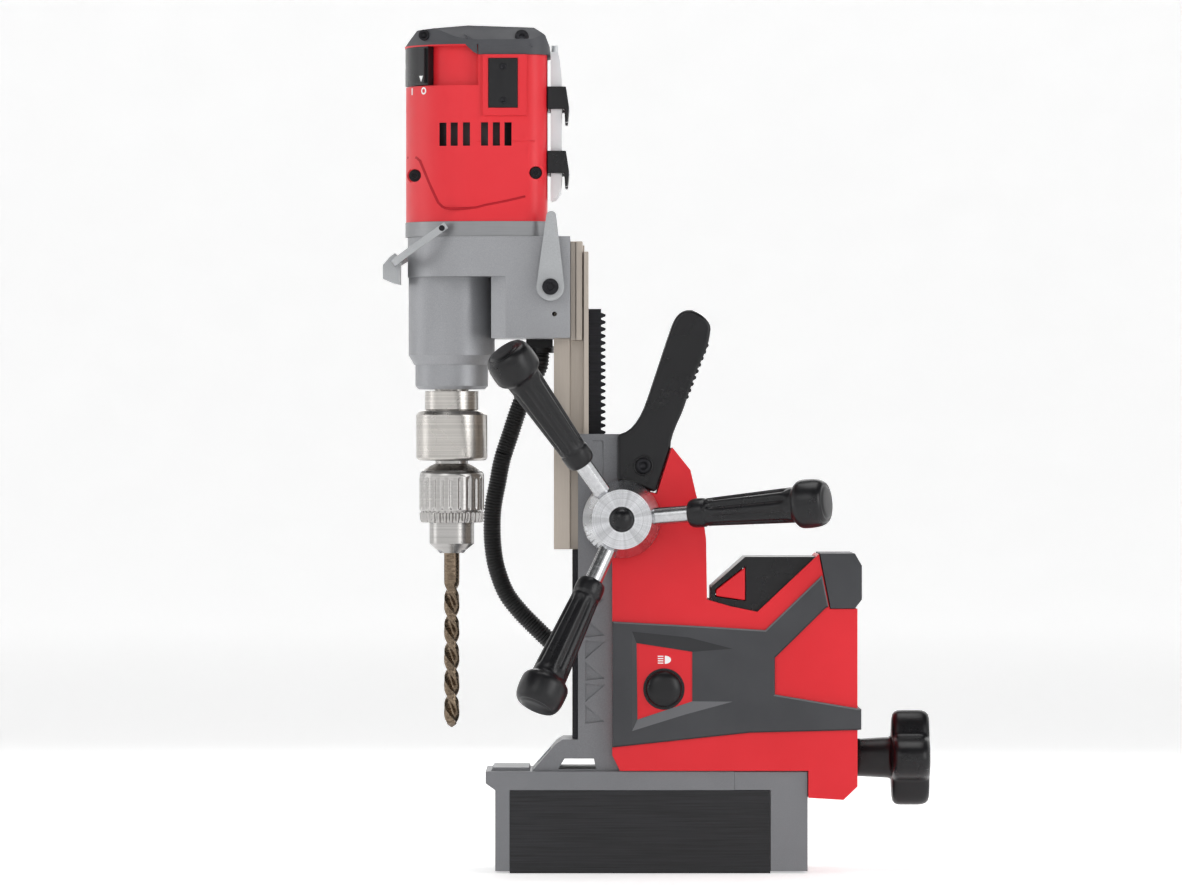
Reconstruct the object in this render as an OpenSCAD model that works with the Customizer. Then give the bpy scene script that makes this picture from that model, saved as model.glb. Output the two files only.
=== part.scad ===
// Battery magnetic drill press: a switchable magnet base, a fixed column,
// a rack-and-pinion feed, and a motor head with a quick-change spindle.
// Millimetres. +Z up, origin in the middle of the magnet's work face.
// The operator's side, with the feed hub, is -Y. The drill points down at -X.

/* [Base] */
// Half of the magnet base's width
base_half_w = 41.5; // [41:0.5:42]
// Height of the top of the base plate above the work face
base_top_z = 58.6; // [58.2:0.1:58.6]
// Length of the pole shoes
pole_len = 150; // [146:1:150]
// How far the pole shoes stand below the aluminium base
pole_drop = 1.2; // [0.5:0.1:2]

/* [Column] */
// Height of the top of the column
column_top_z = 252.7; // [248:0.1:258]
// Half of the column's width
column_half_w = 36; // [34:0.5:36]

/* [Feed] */
// Radius of the feed hub's rear cylinder
hub_r = 22.4; // [21:0.1:22.4]
// Number of spokes on the feed hub
spoke_count = 3; // [2:1:4]
// Length of each spoke from the hub axis to the end of its grip
spoke_len = 125; // [100:0.1:130]
// Largest diameter of the grip's end knob
grip_knob_d = 28; // [24:1:30]
// Module of the rack and its pinion
rack_m = 1.27; // [1.27]

/* [Motor head] */
// Distance from the middle of the magnet to the spindle axis
spindle_reach = 109; // [109]
// Outer radius of the rounded front of the motor shells
motor_r = 41; // [40:0.5:41]
// Wall thickness of the motor shells
shell_wall = 3; // [2:0.5:3.5]
// Number of blades on the cooling fan
fan_blades = 9; // [6:1:12]

/* [Chuck and drill] */
// Diameter of the drill bit
drill_d = 9; // [8:0.5:9]
// Height of the drill's point above the work face, with the feed up
drill_tip_z = 82.5; // [70:0.5:100]
// Outer radius of the chuck sleeve
sleeve_r = 18.8; // [18.4:0.1:18.8]

/* [Controls] */
// Distance across the magnet knob's lobes
knob_d = 55; // [50:1:56]
// Radius of the work light's button
light_button_r = 10.5; // [9:0.5:10.5]

/* [Battery and bottle] */
// Half of the battery's width
battery_half_w = 38.5; // [37.5:0.5:38.5]
// Half of the coolant bottle's width
bottle_half_w = 30; // [24:1:30]

/* [Conduit] */
// Outer diameter of the wiring conduit
conduit_d = 10.6; // [9:0.1:11]

/* [Hidden] */
$fn = 64;

sx = -spindle_reach;        // spindle axis
mx = -94.5;                 // motor axis, at Y = 0
ix = -96.98;                // idler axis
iy = 19.85;
hx = -10.6;                 // feed hub axis, along Y
hz = 203.8;
kz = 65.2;                  // magnet knob axis, along X
rz = 25.2;                  // magnet rotor axis, along X
rack_pitch_x = hx - 8 * rack_m;
spoke_y = -58.1;            // where the spokes' axes meet the hub axis
spoke_lean = 20;            // degrees towards the operator
spoke_a0 = 5;               // first spoke, degrees from +X in the XZ plane
case_top_z = 182;
chuck_tilt = 15;            // slope of the chuck jaws

red = [0.84, 0.09, 0.11];
dark = [0.20, 0.20, 0.22];
black = [0.07, 0.07, 0.08];
alu = [0.56, 0.57, 0.58];
steel = [0.78, 0.74, 0.68];
bright = [0.80, 0.81, 0.82];
brass = [0.72, 0.58, 0.30];
copper = [0.72, 0.40, 0.22];
green = [0.08, 0.34, 0.20];

// ---------- helpers ----------
module box(x0, x1, y0, y1, z0, z1) translate([x0, y0, z0]) cube([x1 - x0, y1 - y0, z1 - z0]);
module xz(pts, y0, y1) translate([0, y1, 0]) rotate([90, 0, 0]) linear_extrude(y1 - y0) polygon(pts);
module xy(pts, z0, z1) translate([0, 0, z0]) linear_extrude(z1 - z0) polygon(pts);
module yz(pts, x0, x1) translate([x0, 0, 0]) rotate([90, 0, 90]) linear_extrude(x1 - x0) polygon(pts);
module zcyl(x, y, r, z0, z1) translate([x, y, z0]) cylinder(r = r, h = z1 - z0);
module zcone(x, y, r0, r1, z0, z1) translate([x, y, z0]) cylinder(r1 = r0, r2 = r1, h = z1 - z0);
module ycyl(x, z, r, y0, y1) translate([x, y0, z]) rotate([-90, 0, 0]) cylinder(r = r, h = y1 - y0);
module xcyl(y, z, r, x0, x1) translate([x0, y, z]) rotate([0, 90, 0]) cylinder(r = r, h = x1 - x0);
module xcone(y, z, r0, r1, x0, x1) translate([x0, y, z]) rotate([0, 90, 0]) cylinder(r1 = r0, r2 = r1, h = x1 - x0);
function rot2(p, a) = [p[0] * cos(a) - p[1] * sin(a), p[0] * sin(a) + p[1] * cos(a)];
function invx(rb, a) = [rb * (cos(a) + a * PI / 180 * sin(a)), rb * (sin(a) - a * PI / 180 * cos(a))];
function unit(v) = v / norm(v);

// Involute gear outline with one tooth centred on +X and a short addendum
module gear2d(m, z, bl = 0.12, pa = 20) {
  r = m * z / 2; rb = r * cos(pa); ra = r + 0.8 * m; rf = r - 1.1 * m;
  invpa = (tan(pa) - pa * PI / 180) * 180 / PI;
  half = 90 / z + invpa - (bl / 2) / r * 180 / PI;
  amax = sqrt(pow(ra / rb, 2) - 1) * 180 / PI;
  a0 = rf > rb ? sqrt(pow(rf / rb, 2) - 1) * 180 / PI : 0;
  n = 4;
  polygon([for (k = [0:z - 1]) let(c = k * 360 / z) each concat(
    rf < rb ? [rot2([rf, 0], c - half)] : [],
    [for (i = [0:n]) rot2(invx(rb, a0 + (amax - a0) * i / n), c - half)],
    [for (i = [n:-1:0]) let(p = invx(rb, a0 + (amax - a0) * i / n)) rot2([p[0], -p[1]], c + half)],
    rf < rb ? [rot2([rf, 0], c + half)] : [])]);
}
module zgear(x, y, m, z, a, z0, z1) translate([x, y, z0]) rotate(a) linear_extrude(z1 - z0) gear2d(m, z);

// Round tube along a list of points
module tube(p, r, n = 10) {
  m = len(p);
  pts = [for (i = [0:m - 1]) let(t = unit(p[min(i + 1, m - 1)] - p[max(i - 1, 0)]), u = unit(cross(t, [0, 1, 0])), v = cross(u, t))
    for (k = [0:n - 1]) p[i] + r * (cos(360 * k / n) * u + sin(360 * k / n) * v)];
  polyhedron(pts, concat([[for (k = [n - 1:-1:0]) k]],
    [for (i = [0:m - 2]) for (k = [0:n - 1]) [i * n + k, i * n + (k + 1) % n, (i + 1) * n + (k + 1) % n, (i + 1) * n + k]],
    [[for (k = [0:n - 1]) (m - 1) * n + k]]));
}

// ---------- base ----------
// Base plate: the top plate and the front strip, with the rotor's front bearing
module base_plate() color(alu) difference() {
  union() {
    xz([[-88.8, base_top_z], [-88.8, 51.7], [-83.3, 47.8], [-83.3, pole_drop], [-75, pole_drop], [-75, 47.8], [54.3, 47.8], [54.3, base_top_z]],
      -base_half_w, base_half_w);
    xz([[-86.5, base_top_z - 1], [-84.5, 60.6], [-64, 60.6], [-63, base_top_z - 1]], -33, 33);
  }
  xcyl(0, rz, 6.05, -80.5, -74);
  for (y = [-26, 26]) for (x = [-30, 0]) zcyl(x, y, 2.5, 47, 60);
}
// Rear end block: carries the magnet's gear pair
module base_end_block() color(alu) difference() {
  union() {
    xz([[54.3, base_top_z], [54.3, 47.8], [75, 47.8], [75, pole_drop], [96.4, pole_drop], [96.4, base_top_z]], -base_half_w, base_half_w);
    box(74.5, 79.2, -13, 13, base_top_z - 1, 76);
    box(91, 96.4, -13, 13, base_top_z - 1, 76);
  }
  box(79.2, 91, -22, 22, 2.8, 80);
  xcyl(0, rz, 10.05, 74, 80);
  xcyl(0, rz, 6.05, 90, 95);
  for (x0 = [74, 90]) xcyl(0, kz, 6.05, x0, x0 + 7);
}
module pole_shoes() color(black) difference() {
  for (s = [-1, 1]) translate([-pole_len / 2, s > 0 ? 4 : -42, 0]) cube([pole_len, 38, 47.8]);
  xcyl(0, rz, 20.3, -80, 80);
}
module pole_separators() color(brass) difference() {
  union() {
    box(-pole_len / 2, pole_len / 2, -4, 4, 0, 8);
    box(-pole_len / 2, pole_len / 2, -4, 4, 43, 47.8);
  }
  xcyl(0, rz, 20.3, -80, 80);
}
// Magnet rotor: turns half a turn between hold and release
module magnet_rotor() color(steel) union() {
  xcyl(0, rz, 20, -72, 74.5);
  xcyl(0, rz, 6, -80, -71);
  xcyl(0, rz, 10, 74, 80);
  xcyl(0, rz, 6, 89, 94.5);
  translate([79.6, 0, rz]) rotate([0, 90, 0]) rotate(180 + 180 / 32) linear_extrude(11) gear2d(1.25, 32);
}
module knob_shaft() color(bright) union() {
  xcyl(0, kz, 6, 74.5, 158);
  translate([79.6, 0, kz]) rotate([0, 90, 0]) linear_extrude(11) gear2d(1.25, 32);
}
module magnet_knob() color(black) difference() {
  union() {
    xcone(0, kz, 10.8, 12, 125.6, 146);
    translate([145.4, 0, kz]) rotate([0, 90, 0]) {
      cylinder(r = 17, h = 22.4);
      for (a = [0:90:270]) rotate(a) translate([knob_d / 2 - 9.5, 0, 0]) cylinder(r = 9.5, h = 22.4);
    }
  }
  xcyl(0, kz, 6.02, 120, 158.2);
}

// ---------- column ----------
// Column casting with its foot, front channel, guide grooves and rack channel
module column() color(alu) difference() {
  union() {
    box(-35.7, 6, -column_half_w, column_half_w, base_top_z, column_top_z);
    xz([[-62.2, base_top_z], [-48.4, 74.2], [-44.5, 76.8], [-34, 76.8], [-34, base_top_z]], -column_half_w, column_half_w);
  }
  box(-37, -24, -24, 24, 78.5, 270);
  box(-32.7, -29.3, -27.3, 27.3, 78.5, 270);
  box(-30, -18, -8, 8, 78.5, 270);
  ycyl(hx, hz, 12.5, -50, 12);
  ycyl(hx, hz, 8, 11, 30);
  // lashing-strap slot through the foot
  xz([[-47, 59.8], [-43.5, 65.8], [-26.5, 65.8], [-25.5, 59.8]], -50, 50);
  // lamp pocket in the sloping front
  translate([-55.3, 0, 66.4]) rotate([0, -48.5, 0]) translate([0, 0, -3]) cylinder(r = 6.1, h = 8);
  // handle bolt holes
  ycyl(1.9, 234.4, 2.5, -50, -22);
  ycyl(1.9, 234.4, 2.5, 22, 50);
  // shallow triangular pockets cast in both sides
  for (s = [-1, 1]) for (i = [0:6]) let(z = 86 + 12.4 * i)
    xz([[-31.5, z], [-20.5, z + (i % 2 == 0 ? 1.2 : 9.6)], [-31.5, z + 10.6]], s > 0 ? column_half_w - 1.6 : -50, s > 0 ? 50 : -column_half_w + 1.6);
}
module way_strips() color(black) for (s = [-1, 1])
  box(-39, -35.7, s > 0 ? 24.5 : -34.5, s > 0 ? 34.5 : -24.5, 77.2, 186);
module led_lens() color([0.93, 0.95, 0.97]) translate([-55.3, 0, 66.4]) rotate([0, -48.5, 0]) translate([0, 0, -2.9]) cylinder(r = 6, h = 3.6);
module pinion_bushes() color(brass) {
  difference() { ycyl(hx, hz, 12.48, -36, -12.2); ycyl(hx, hz, 8.05, -40, 0); }
  difference() { ycyl(hx, hz, 7.98, 12.2, 29.8); ycyl(hx, hz, 5.05, 0, 40); }
}

// ---------- rear housing ----------
housing_out = [[-16, 68], [-11.5, 59], [96.7, 59], [96.7, 43.5], [117, 42.3], [125, 50], [125, 152.2], [109.2, 152.2], [102.9, 183.8], [100.8, 181.8],
  [67.5, 150.5], [52.5, 153.5], [38.5, 157.5], [38, 192], [37, 199.5], [32, 219], [29, 232], [18.6, 245], [17.9, 244.3], [9.6, 218.3], [-16, 224.6]];
housing_in = [[-13, 69], [-10, 62], [99.7, 62], [99.7, 46.6], [116, 45.4], [122, 51.5], [122, 149.2], [106.5, 149.2], [99.5, 177], [68.5, 147.2],
  [51.8, 150.4], [35.5, 155], [35, 192], [34, 199.5], [29, 219], [26.3, 231], [19.5, 239.5], [11.5, 214.5], [-13, 221]];
module housing_half(s) difference() {
  union() {
    difference() {
      xz(housing_out, s > 0 ? 0 : -44, s > 0 ? 44 : 0);
      xz(housing_in, s > 0 ? -1 : -41, s > 0 ? 41 : 1);
    }
    // battery shelf and board ribs
    box(36, 104, s > 0 ? 0 : -41.5, s > 0 ? 41.5 : 0, 88, 91.6);
    for (x = [16.8, 21.8]) box(x, x + 3, s > 0 ? 31 : -41.5, s > 0 ? 41.5 : -31, 72, 142);
  }
  box(-20, 6.4, -column_half_w - 0.3, column_half_w + 0.3, 50, 260);
  // battery well, open upwards
  box(40.2, 101.4, -38.9, 38.9, 91.6, 200);
  // room for the knob gear and its bearings
  box(73.5, 98, -23.5, 23.5, 40, 63);
  xcyl(0, kz, 6.6, 120, 127);
  xcyl(0, kz, 6.6, 94, 102);
}
module housing_near() color(red) difference() {
  housing_half(-1);
  ycyl(hx, hz, 13, -50, -30);
  ycyl(13.7, 106.1, light_button_r + 0.35, -50, -40);
  // room behind the wall for the button's rim and travel
  ycyl(13.7, 106.1, light_button_r + 2.5, -41, -28);
}
module housing_far() color(red) housing_half(1);
cross_out = [[-16, 145], [31.5, 142.5], [72, 140], [104.6, 171.5], [108.3, 153.5], [106.5, 152.5], [77.5, 124], [77.5, 103], [125, 95], [125, 82.5], [63, 81], [-16, 72.5]];
module cross_half(s) difference() {
  union() {
    xz(cross_out, s > 0 ? 44 : -46, s > 0 ? 46 : -44);
    box(125, 127.2, s > 0 ? 0.05 : -46, s > 0 ? 46 : -0.05, 82.8, 94.8);
  }
  xz([[-2, 132.5], [30, 127.5], [30, 99], [-1.5, 88.5]], -50, 50);
  box(34, 53.5, s > 0 ? 45.2 : -50, s > 0 ? 50 : -45.2, 99, 127.5);
}
module side_overmoulds() color(dark) { cross_half(-1); cross_half(1); }
module rear_bumper() color(dark) difference() {
  xz([[103.4, 184], [123.5, 184], [127.5, 177], [127.5, 157.5], [123.5, 152.4], [109.6, 152.4]], -45, 45);
  xz([[110, 150], [107, 179], [122, 179], [123.8, 175], [123.8, 158.5], [121, 150]], -40, 40);
}
module control_board() {
  color(green) box(20, 21.6, -35.6, 38, 73, 141);
  color(black) box(21.6, 32, -26, -6, 96, 122);
  color(bright) box(21.6, 33, 2, 26, 92, 128);
}
module light_button() color(black) union() {
  ycyl(13.7, 106.1, light_button_r, -46.5, -38.5);
  ycyl(13.7, 106.1, light_button_r + 1.6, -40.7, -38.5);
  translate([13.7, -46.5, 106.1]) rotate([90, 0, 0]) cylinder(r1 = light_button_r, r2 = light_button_r - 4, h = 3);
}
module conduit_gland_lower() color(black) difference() {
  box(-34, -16.4, 36, 48, 108, 132);
  xcyl(42, 122, 5.4, -36, -28);
}

// ---------- carrying handle ----------
handle_arm = [[-13, 252.5], [-7, 255], [-2.5, 261], [3.5, 271.5], [19.5, 319.5], [24, 324], [31, 323.5], [38.5, 319.5], [40.5, 314.5], [39.5, 305],
  [32, 288], [25.5, 269], [17.5, 249.5], [17.5, 245], [9, 219], [-13, 225.5]];
module carry_handle() color(black) difference() {
  union() {
    for (s = [-1, 1]) xz(handle_arm, s > 0 ? 36.1 : -43.9, s > 0 ? 43.9 : -36.1);
    xz([[13.4, 301.2], [19.5, 319.5], [24, 324], [31, 323.5], [38.5, 319.5], [40.5, 314.5], [39.5, 305], [36.2, 297.6], [25, 296]], -40, 40);
  }
  for (s = [-1, 1]) {
    ycyl(1.9, 234.4, 6.2, s > 0 ? 40 : -50, s > 0 ? 50 : -40);
    ycyl(1.9, 234.4, 2.6, s > 0 ? 30 : -50, s > 0 ? 50 : -30);
  }
}
module handle_bolts() color(black) for (s = [-1, 1]) mirror([0, s < 0 ? 1 : 0, 0]) difference() {
  union() { ycyl(1.9, 234.4, 5.2, 40, 43.6); ycyl(1.9, 234.4, 2.48, 24, 41); }
  ycyl(1.9, 234.4, 2.4, 41.4, 45);
}

// ---------- feed hub ----------
module spoke_frame(i) translate([hx, spoke_y, hz]) rotate([0, -(spoke_a0 + i * 360 / spoke_count), 0]) rotate([0, 0, -spoke_lean]) rotate([0, 90, 0]) children();
module hub() color(bright) difference() {
  translate([hx, -46.5, hz]) rotate([90, 0, 0]) rotate_extrude() polygon([[0, 0], [hub_r - 1, 0], [hub_r, 1], [hub_r, 11.5], [17.1, 26.1], [0, 26.1]]);
  ycyl(hx, hz, 8.02, -62, -40);
  for (i = [0:spoke_count - 1]) spoke_frame(i) translate([0, 0, 11.5]) cylinder(r = 5.02, h = 40);
  ycyl(hx, hz, 4.03, -80, -60);
}
module hub_cap() color(black) union() {
  ycyl(hx, hz, 4, -73, -64);
  translate([hx, -72.6, hz]) rotate([90, 0, 0]) rotate_extrude() polygon([[0, 0], [6.6, 0], [6.4, 1.4], [5, 3.2], [2.6, 4.2], [0, 4.5]]);
}
module pinion_shaft() color(steel) union() {
  ycyl(hx, hz, 8, -61.8, -6.5);
  ycyl(hx, hz, 5, 6, 29.5);
  translate([hx, 7, hz]) rotate([90, 0, 0]) rotate(180) linear_extrude(14) gear2d(rack_m, 16);
}
module spoke_rods() color(bright) for (i = [0:spoke_count - 1]) spoke_frame(i) translate([0, 0, 12]) cylinder(r = 5, h = spoke_len - 20);
module spoke_grips() color(black) for (i = [0:spoke_count - 1]) spoke_frame(i) rotate_extrude()
  polygon([[5.05, 41.5], [7.6, 41.5], [8.2, 44], [7.35, 46], [10, spoke_len - 20.5], [grip_knob_d / 2 - 1.8, spoke_len - 18.5], [grip_knob_d / 2, spoke_len - 14],
    [grip_knob_d / 2, spoke_len - 6], [grip_knob_d / 2 - 3, spoke_len - 1.2], [8, spoke_len], [0, spoke_len], [0, spoke_len - 7.9], [5.05, spoke_len - 7.9]]);

// ---------- carriage ----------
module slide_bar() color(steel) union() {
  box(-49.7, -40.3, -17, 17, 186, 362);
  box(-41, -32, -8, 8, 186, 362);
  box(-32.4, -29.6, -27, 27, 186, 358);
}
rack_p = PI * rack_m;
module rack() color(black) let(px = rack_pitch_x, t = tan(20), a = 0.8 * rack_m, d = 1.25 * rack_m, h = rack_p / 4 - 0.06)
  xz(concat([[-29.6, 325.2], [-29.6, 186]], [[px - d, 186]],
    [for (k = [-4:29]) let(c = hz + rack_p * (k + 0.5)) each
      [[px - d, c - h - d * t], [px + a, c - h + a * t], [px + a, c + h - a * t], [px - d, c + h + d * t]]],
    [[px - d, 325.2]]), -6, 6);

// ---------- motor head ----------
module gear_housing() color(alu) difference() {
  union() {
    zcyl(-92.5, 0, 42, 343.5, 366.5);
    box(-92.5, -40.2, -42, 42, 343.5, 366.5);
    xy([[-85.7, -34], [-77.3, -42], [-40.2, -42], [-40.2, 42], [-77.3, 42], [-85.7, 34]], 308, 344);
    zcyl(sx, 0, 25, 298.3, 344);
    zcone(sx, 0, 21.8, 25, 292.8, 298.4);
    zcyl(sx, 0, 21.1, 280.5, 294);
    zcone(sx, 0, 19.2, 21.1, 278.6, 280.5);
    zcyl(ix, iy, 7.5, 333, 344);
  }
  zcyl(sx, 0, 17, 281.4, 346);
  zcyl(sx, 0, 10.8, 270, 290);
  zcyl(sx, 0, 19.5, 345, 370);
  zcyl(ix, iy, 16.5, 345, 370);
  zcyl(mx, 0, 8.5, 345, 370);
  zcyl(ix, iy, 4.05, 335, 346);
  // slide channel, open to the rear
  box(-50.1, -30, -17.4, 17.4, 300, 380);
  // clamp bolt bore and set-screw hole
  ycyl(-51.5, 337.2, 4.05, -60, -17);
  ycyl(-49.2, 321.7, 1.4, -60, -17);
}
function motor_plan(r, rear, e) = concat(
  [for (i = [0:24]) let(a = 90 + 180 * i / 24) [mx + r * cos(a), r * sin(a)]],
  [for (i = [0:6]) let(a = -90 + 90 * i / 6) [rear - e + e * cos(a), -r + e + e * sin(a)]],
  [for (i = [0:6]) let(a = 90 * i / 6) [rear - e + e * cos(a), r - e + e * sin(a)]]);
// Rounded plan of the motor body: a half circle in front and rounded corners behind
module motor_body(r, rear, e, z0, z1) {
  zcyl(mx, 0, r, z0, z1);
  box(mx, rear - e, -r, r, z0, z1);
  box(mx, rear, -r + e, r - e, z0, z1);
  for (s = [-1, 1]) zcyl(rear - e, s * (r - e), e, z0, z1);
}
module sector(a0, a1, r, z0, z1) translate([mx, 0, z0]) linear_extrude(z1 - z0)
  polygon(concat([[0, 0]], [for (i = [0:4]) let(a = a0 + (a1 - a0) * i / 4) r * [cos(a), sin(a)]]));
module ring_sector(a0, a1, ri, ro, z0, z1) intersection() {
  difference() { zcyl(mx, 0, ro, z0, z1); zcyl(mx, 0, ri, z0 - 1, z1 + 1); }
  sector(a0, a1, 70, z0 - 1, z1 + 1);
}
module motor_flange() color(bright) difference() {
  motor_body(motor_r + 0.4, -52.8, 12, 366.6, 375.1);
  zcyl(mx, 0, 6.9, 360, 380);
  zcyl(mx, 0, 8, 370, 380);
  zcyl(ix, iy, 4.05, 360, 372);
  for (s = [-1, 1]) ycyl(-113.9, 371, 2.05, s > 0 ? 30 : -50, s > 0 ? 50 : -30);
}
module shell_half(s) difference() {
  union() {
    difference() {
      union() {
        motor_body(motor_r, -53.5, 12, 375.2, 471);
        zcyl(mx, 0, 36.2, 470, 476.9);
        for (t = [-1, 1]) box(-90.5, -65.2, t > 0 ? 40 : -43, t > 0 ? 43 : -40, 436, 471);
      }
      motor_body(motor_r - shell_wall, -53.5 - shell_wall, 9, 370, 444.9);
      zcyl(mx, 0, 33, 450.1, 480);
    }
    // stator rib and screw bosses
    difference() { motor_body(motor_r - 1, -54.5, 11, 405, 410); zcyl(mx, 0, 33.02, 400, 415); }
    ycyl(-130, 402, 4.6, -16, 16);
    ycyl(-60, 403, 5, -39, 39);
  }
  zcyl(mx, 0, 9.5, 440, 460);
  // keep one half
  box(-160, -30, s > 0 ? -60 : 0, s > 0 ? 0 : 60, 360, 500);
  // switch recess
  difference() { sector(148, 272, 70, 453.4, 480); zcyl(mx, 0, 36.2, 440, 490); }
  // cooling vents
  for (x = [-115.5, -109, -101.9, -91.5, -84.7, -78]) box(x, x + 4.1, s > 0 ? 28.5 : -50, s > 0 ? 50 : -28.5, 418.5, 432);
  // screw holes
  for (q = [[-130, 402, 19], [-60, 403, 39]]) {
    ycyl(q[0], q[1], 1.6, -50, 50);
    ycyl(q[0], q[1], 3.7, s > 0 ? q[2] - 4.5 : -50, s > 0 ? 50 : -q[2] + 4.5);
  }
  // cover plate pocket
  box(-87.4, -70.2, s > 0 ? 42 : -50, s > 0 ? 50 : -42, 440.2, 469);
}
module motor_shell_near() color(red) shell_half(-1);
module motor_shell_far() color(red) shell_half(1);
module motor_top_cap() color(dark) difference() {
  intersection() {
    motor_body(motor_r + 1, -51.8, 13, 471.1, 489);
    xz([[-137, 470], [-136, 476.5], [-128.5, 485.5], [-99, 488.2], [-61, 486.8], [-54.5, 482.3], [-51.5, 474.5], [-51.5, 470]], -50, 50);
    yz([[-44, 470], [-42.6, 479], [-37, 485], [-30, 489], [30, 489], [37, 485], [42.6, 479], [44, 470]], -140, -40);
  }
  zcyl(mx, 0, 36.5, 470, 477.2);
  zcyl(mx, 0, 32, 470, 481);
  difference() { sector(148, 272, 70, 470, 477); zcyl(mx, 0, 30, 460, 480); }
}
module access_plates() color(black) for (s = [-1, 1]) {
  box(-87.2, -70.4, s > 0 ? 42 : -43.6, s > 0 ? 43.6 : -42, 440.4, 468.8);
}
module shell_screws() color(black) for (s = [-1, 1]) mirror([0, s < 0 ? 1 : 0, 0]) for (q = [[-130, 402, 14.5], [-60, 403, 34.5]]) {
  difference() {
    union() { ycyl(q[0], q[1], 3.4, q[2], q[2] + 2.6); ycyl(q[0], q[1], 1.55, 0.5, q[2] + 1); }
    ycyl(q[0], q[1], 1.5, q[2] + 1.2, q[2] + 5);
  }
}
module stator() color(copper) difference() {
  zcyl(mx, 0, 33, 392, 425);
  zcyl(mx, 0, 16.8, 390, 430);
  // notches round the shell's screw bosses
  ycyl(-130, 402, 4.9, -20, 20);
  ycyl(-60, 403, 5.3, -40, 40);
}
module head_bearings() color(bright) {
  for (z = [284, 330]) difference() { zcyl(sx, 0, 16.98, z, z + 10); zcyl(sx, 0, 10.05, z - 1, z + 11); }
  difference() { zcyl(mx, 0, 7.98, 370.1, 375); zcyl(mx, 0, 4.05, 369, 376); }
  difference() { zcyl(mx, 0, 9.48, 445, 450); zcyl(mx, 0, 4.05, 444, 451); }
}
module clamp_jaws() color(steel) for (s = [-1, 1]) mirror([0, s < 0 ? 1 : 0, 0]) union() {
  box(-40.2, -36.5, 8.7, 20, 306.8, 364);
  box(-37, -33, 8.7, 23, 306.8, 364);
}
module conduit_gland_upper() color(black) difference() {
  union() { box(-66, -50.5, 18, 34, 303, 308); zcyl(-57.5, 26, 7.6, 300, 304); }
  zcyl(-57.5, 26, 5.35, 299, 305);
}
module clamp_lever() color([0.70, 0.71, 0.72]) difference() {
  union() {
    ycyl(-51.5, 337.2, 8, -51.5, -42.3);
    ycyl(-51, 378, 2.8, -50.5, -46.5);
    xz([[-59.4, 338.4], [-53.8, 378.4], [-48.2, 378.4], [-43.6, 338.4], [-51.5, 331]], -50.5, -46.5);
  }
  ycyl(-51.5, 337.2, 4.02, -60, -40);
}
module lever_bolt() color(black) difference() {
  union() { ycyl(-51.5, 337.2, 4, -52, -18.5); ycyl(-51.5, 337.2, 4.7, -54.4, -51.5); }
  ycyl(-51.5, 337.2, 2.2, -56, -52.8);
}
// Gear selector: a bail that swings on two pins in the flange's sides
function rrect(x0, x1, y, r) = concat([[x1, -y]], [[x1, y]],
  [for (i = [0:8]) let(a = 90 + 90 * i / 8) [x0 + r + r * cos(a), y - r + r * sin(a)]],
  [for (i = [0:8]) let(a = 180 + 90 * i / 8) [x0 + r + r * cos(a), -y + r + r * sin(a)]]);
module gear_selector() color([0.66, 0.66, 0.67]) union() {
  translate([-113.9, 0, 371]) rotate([0, -35, 0]) {
    difference() {
      translate([0, 0, -2]) linear_extrude(4) difference() { polygon(rrect(-35, 3, 45.4, 22)); polygon(rrect(-32.5, 4, 43, 20)); }
    }
  }
  xz([[-148.6, 350.5], [-148.6, 342.6], [-143, 340.2], [-138.6, 339.2], [-138.6, 354.6], [-141.5, 357.4], [-144.5, 355.2]], -15, 15);
  for (s = [-1, 1]) ycyl(-113.9, 371, 2, s > 0 ? 34 : -45.4, s > 0 ? 45.4 : -34);
  for (s = [-1, 1]) ycyl(-113.9, 371, 3.6, s > 0 ? 43 : -45.4, s > 0 ? 45.4 : -43);
}
module power_switch() color(black) union() {
  ring_sector(176, 228, 36.6, 41.4, 454, 476.5);
  ring_sector(220, 226, 40.5, 43, 455, 475);
}
module bottle_clips() color(black) for (z = [403, 440]) difference() {
  union() {
    xz([[-53.4, z], [-43.6, z], [-43.2, z - 7.5], [-41.6, z - 7.5], [-40.8, z + 1], [-42.6, z + 13], [-53.4, z + 13]], -bottle_half_w - 2.4, bottle_half_w + 2.4);
  }
  box(-51.9, -44.5, -bottle_half_w - 0.5, bottle_half_w + 0.5, z - 9, z + 14);
  // finger relief in the middle of the strap
  box(-49, -30, -14, 14, z - 9, z + 4);
}
bottle_out = [[-51.4, 388], [-48, 389], [-45.6, 393], [-45, 400], [-45, 458], [-46, 468], [-47.2, 473], [-51.4, 473]];
bottle_in = [[-50, 389.8], [-48.6, 390.3], [-47, 393.5], [-46.4, 400.3], [-46.4, 457.7], [-47.4, 467.7], [-48.2, 471.6], [-50, 471.6]];
module coolant_bottle() color([0.9, 0.9, 0.9]) union() {
  difference() {
    xz(bottle_out, -bottle_half_w, bottle_half_w);
    xz(bottle_in, -bottle_half_w + 1.6, bottle_half_w - 1.6);
    zcyl(-49.2, 0, 0.7, 465, 480);
  }
  difference() { zcyl(-49.2, 0, 1.9, 472, 478); zcyl(-49.2, 0, 0.7, 465, 480); }
}

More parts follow.
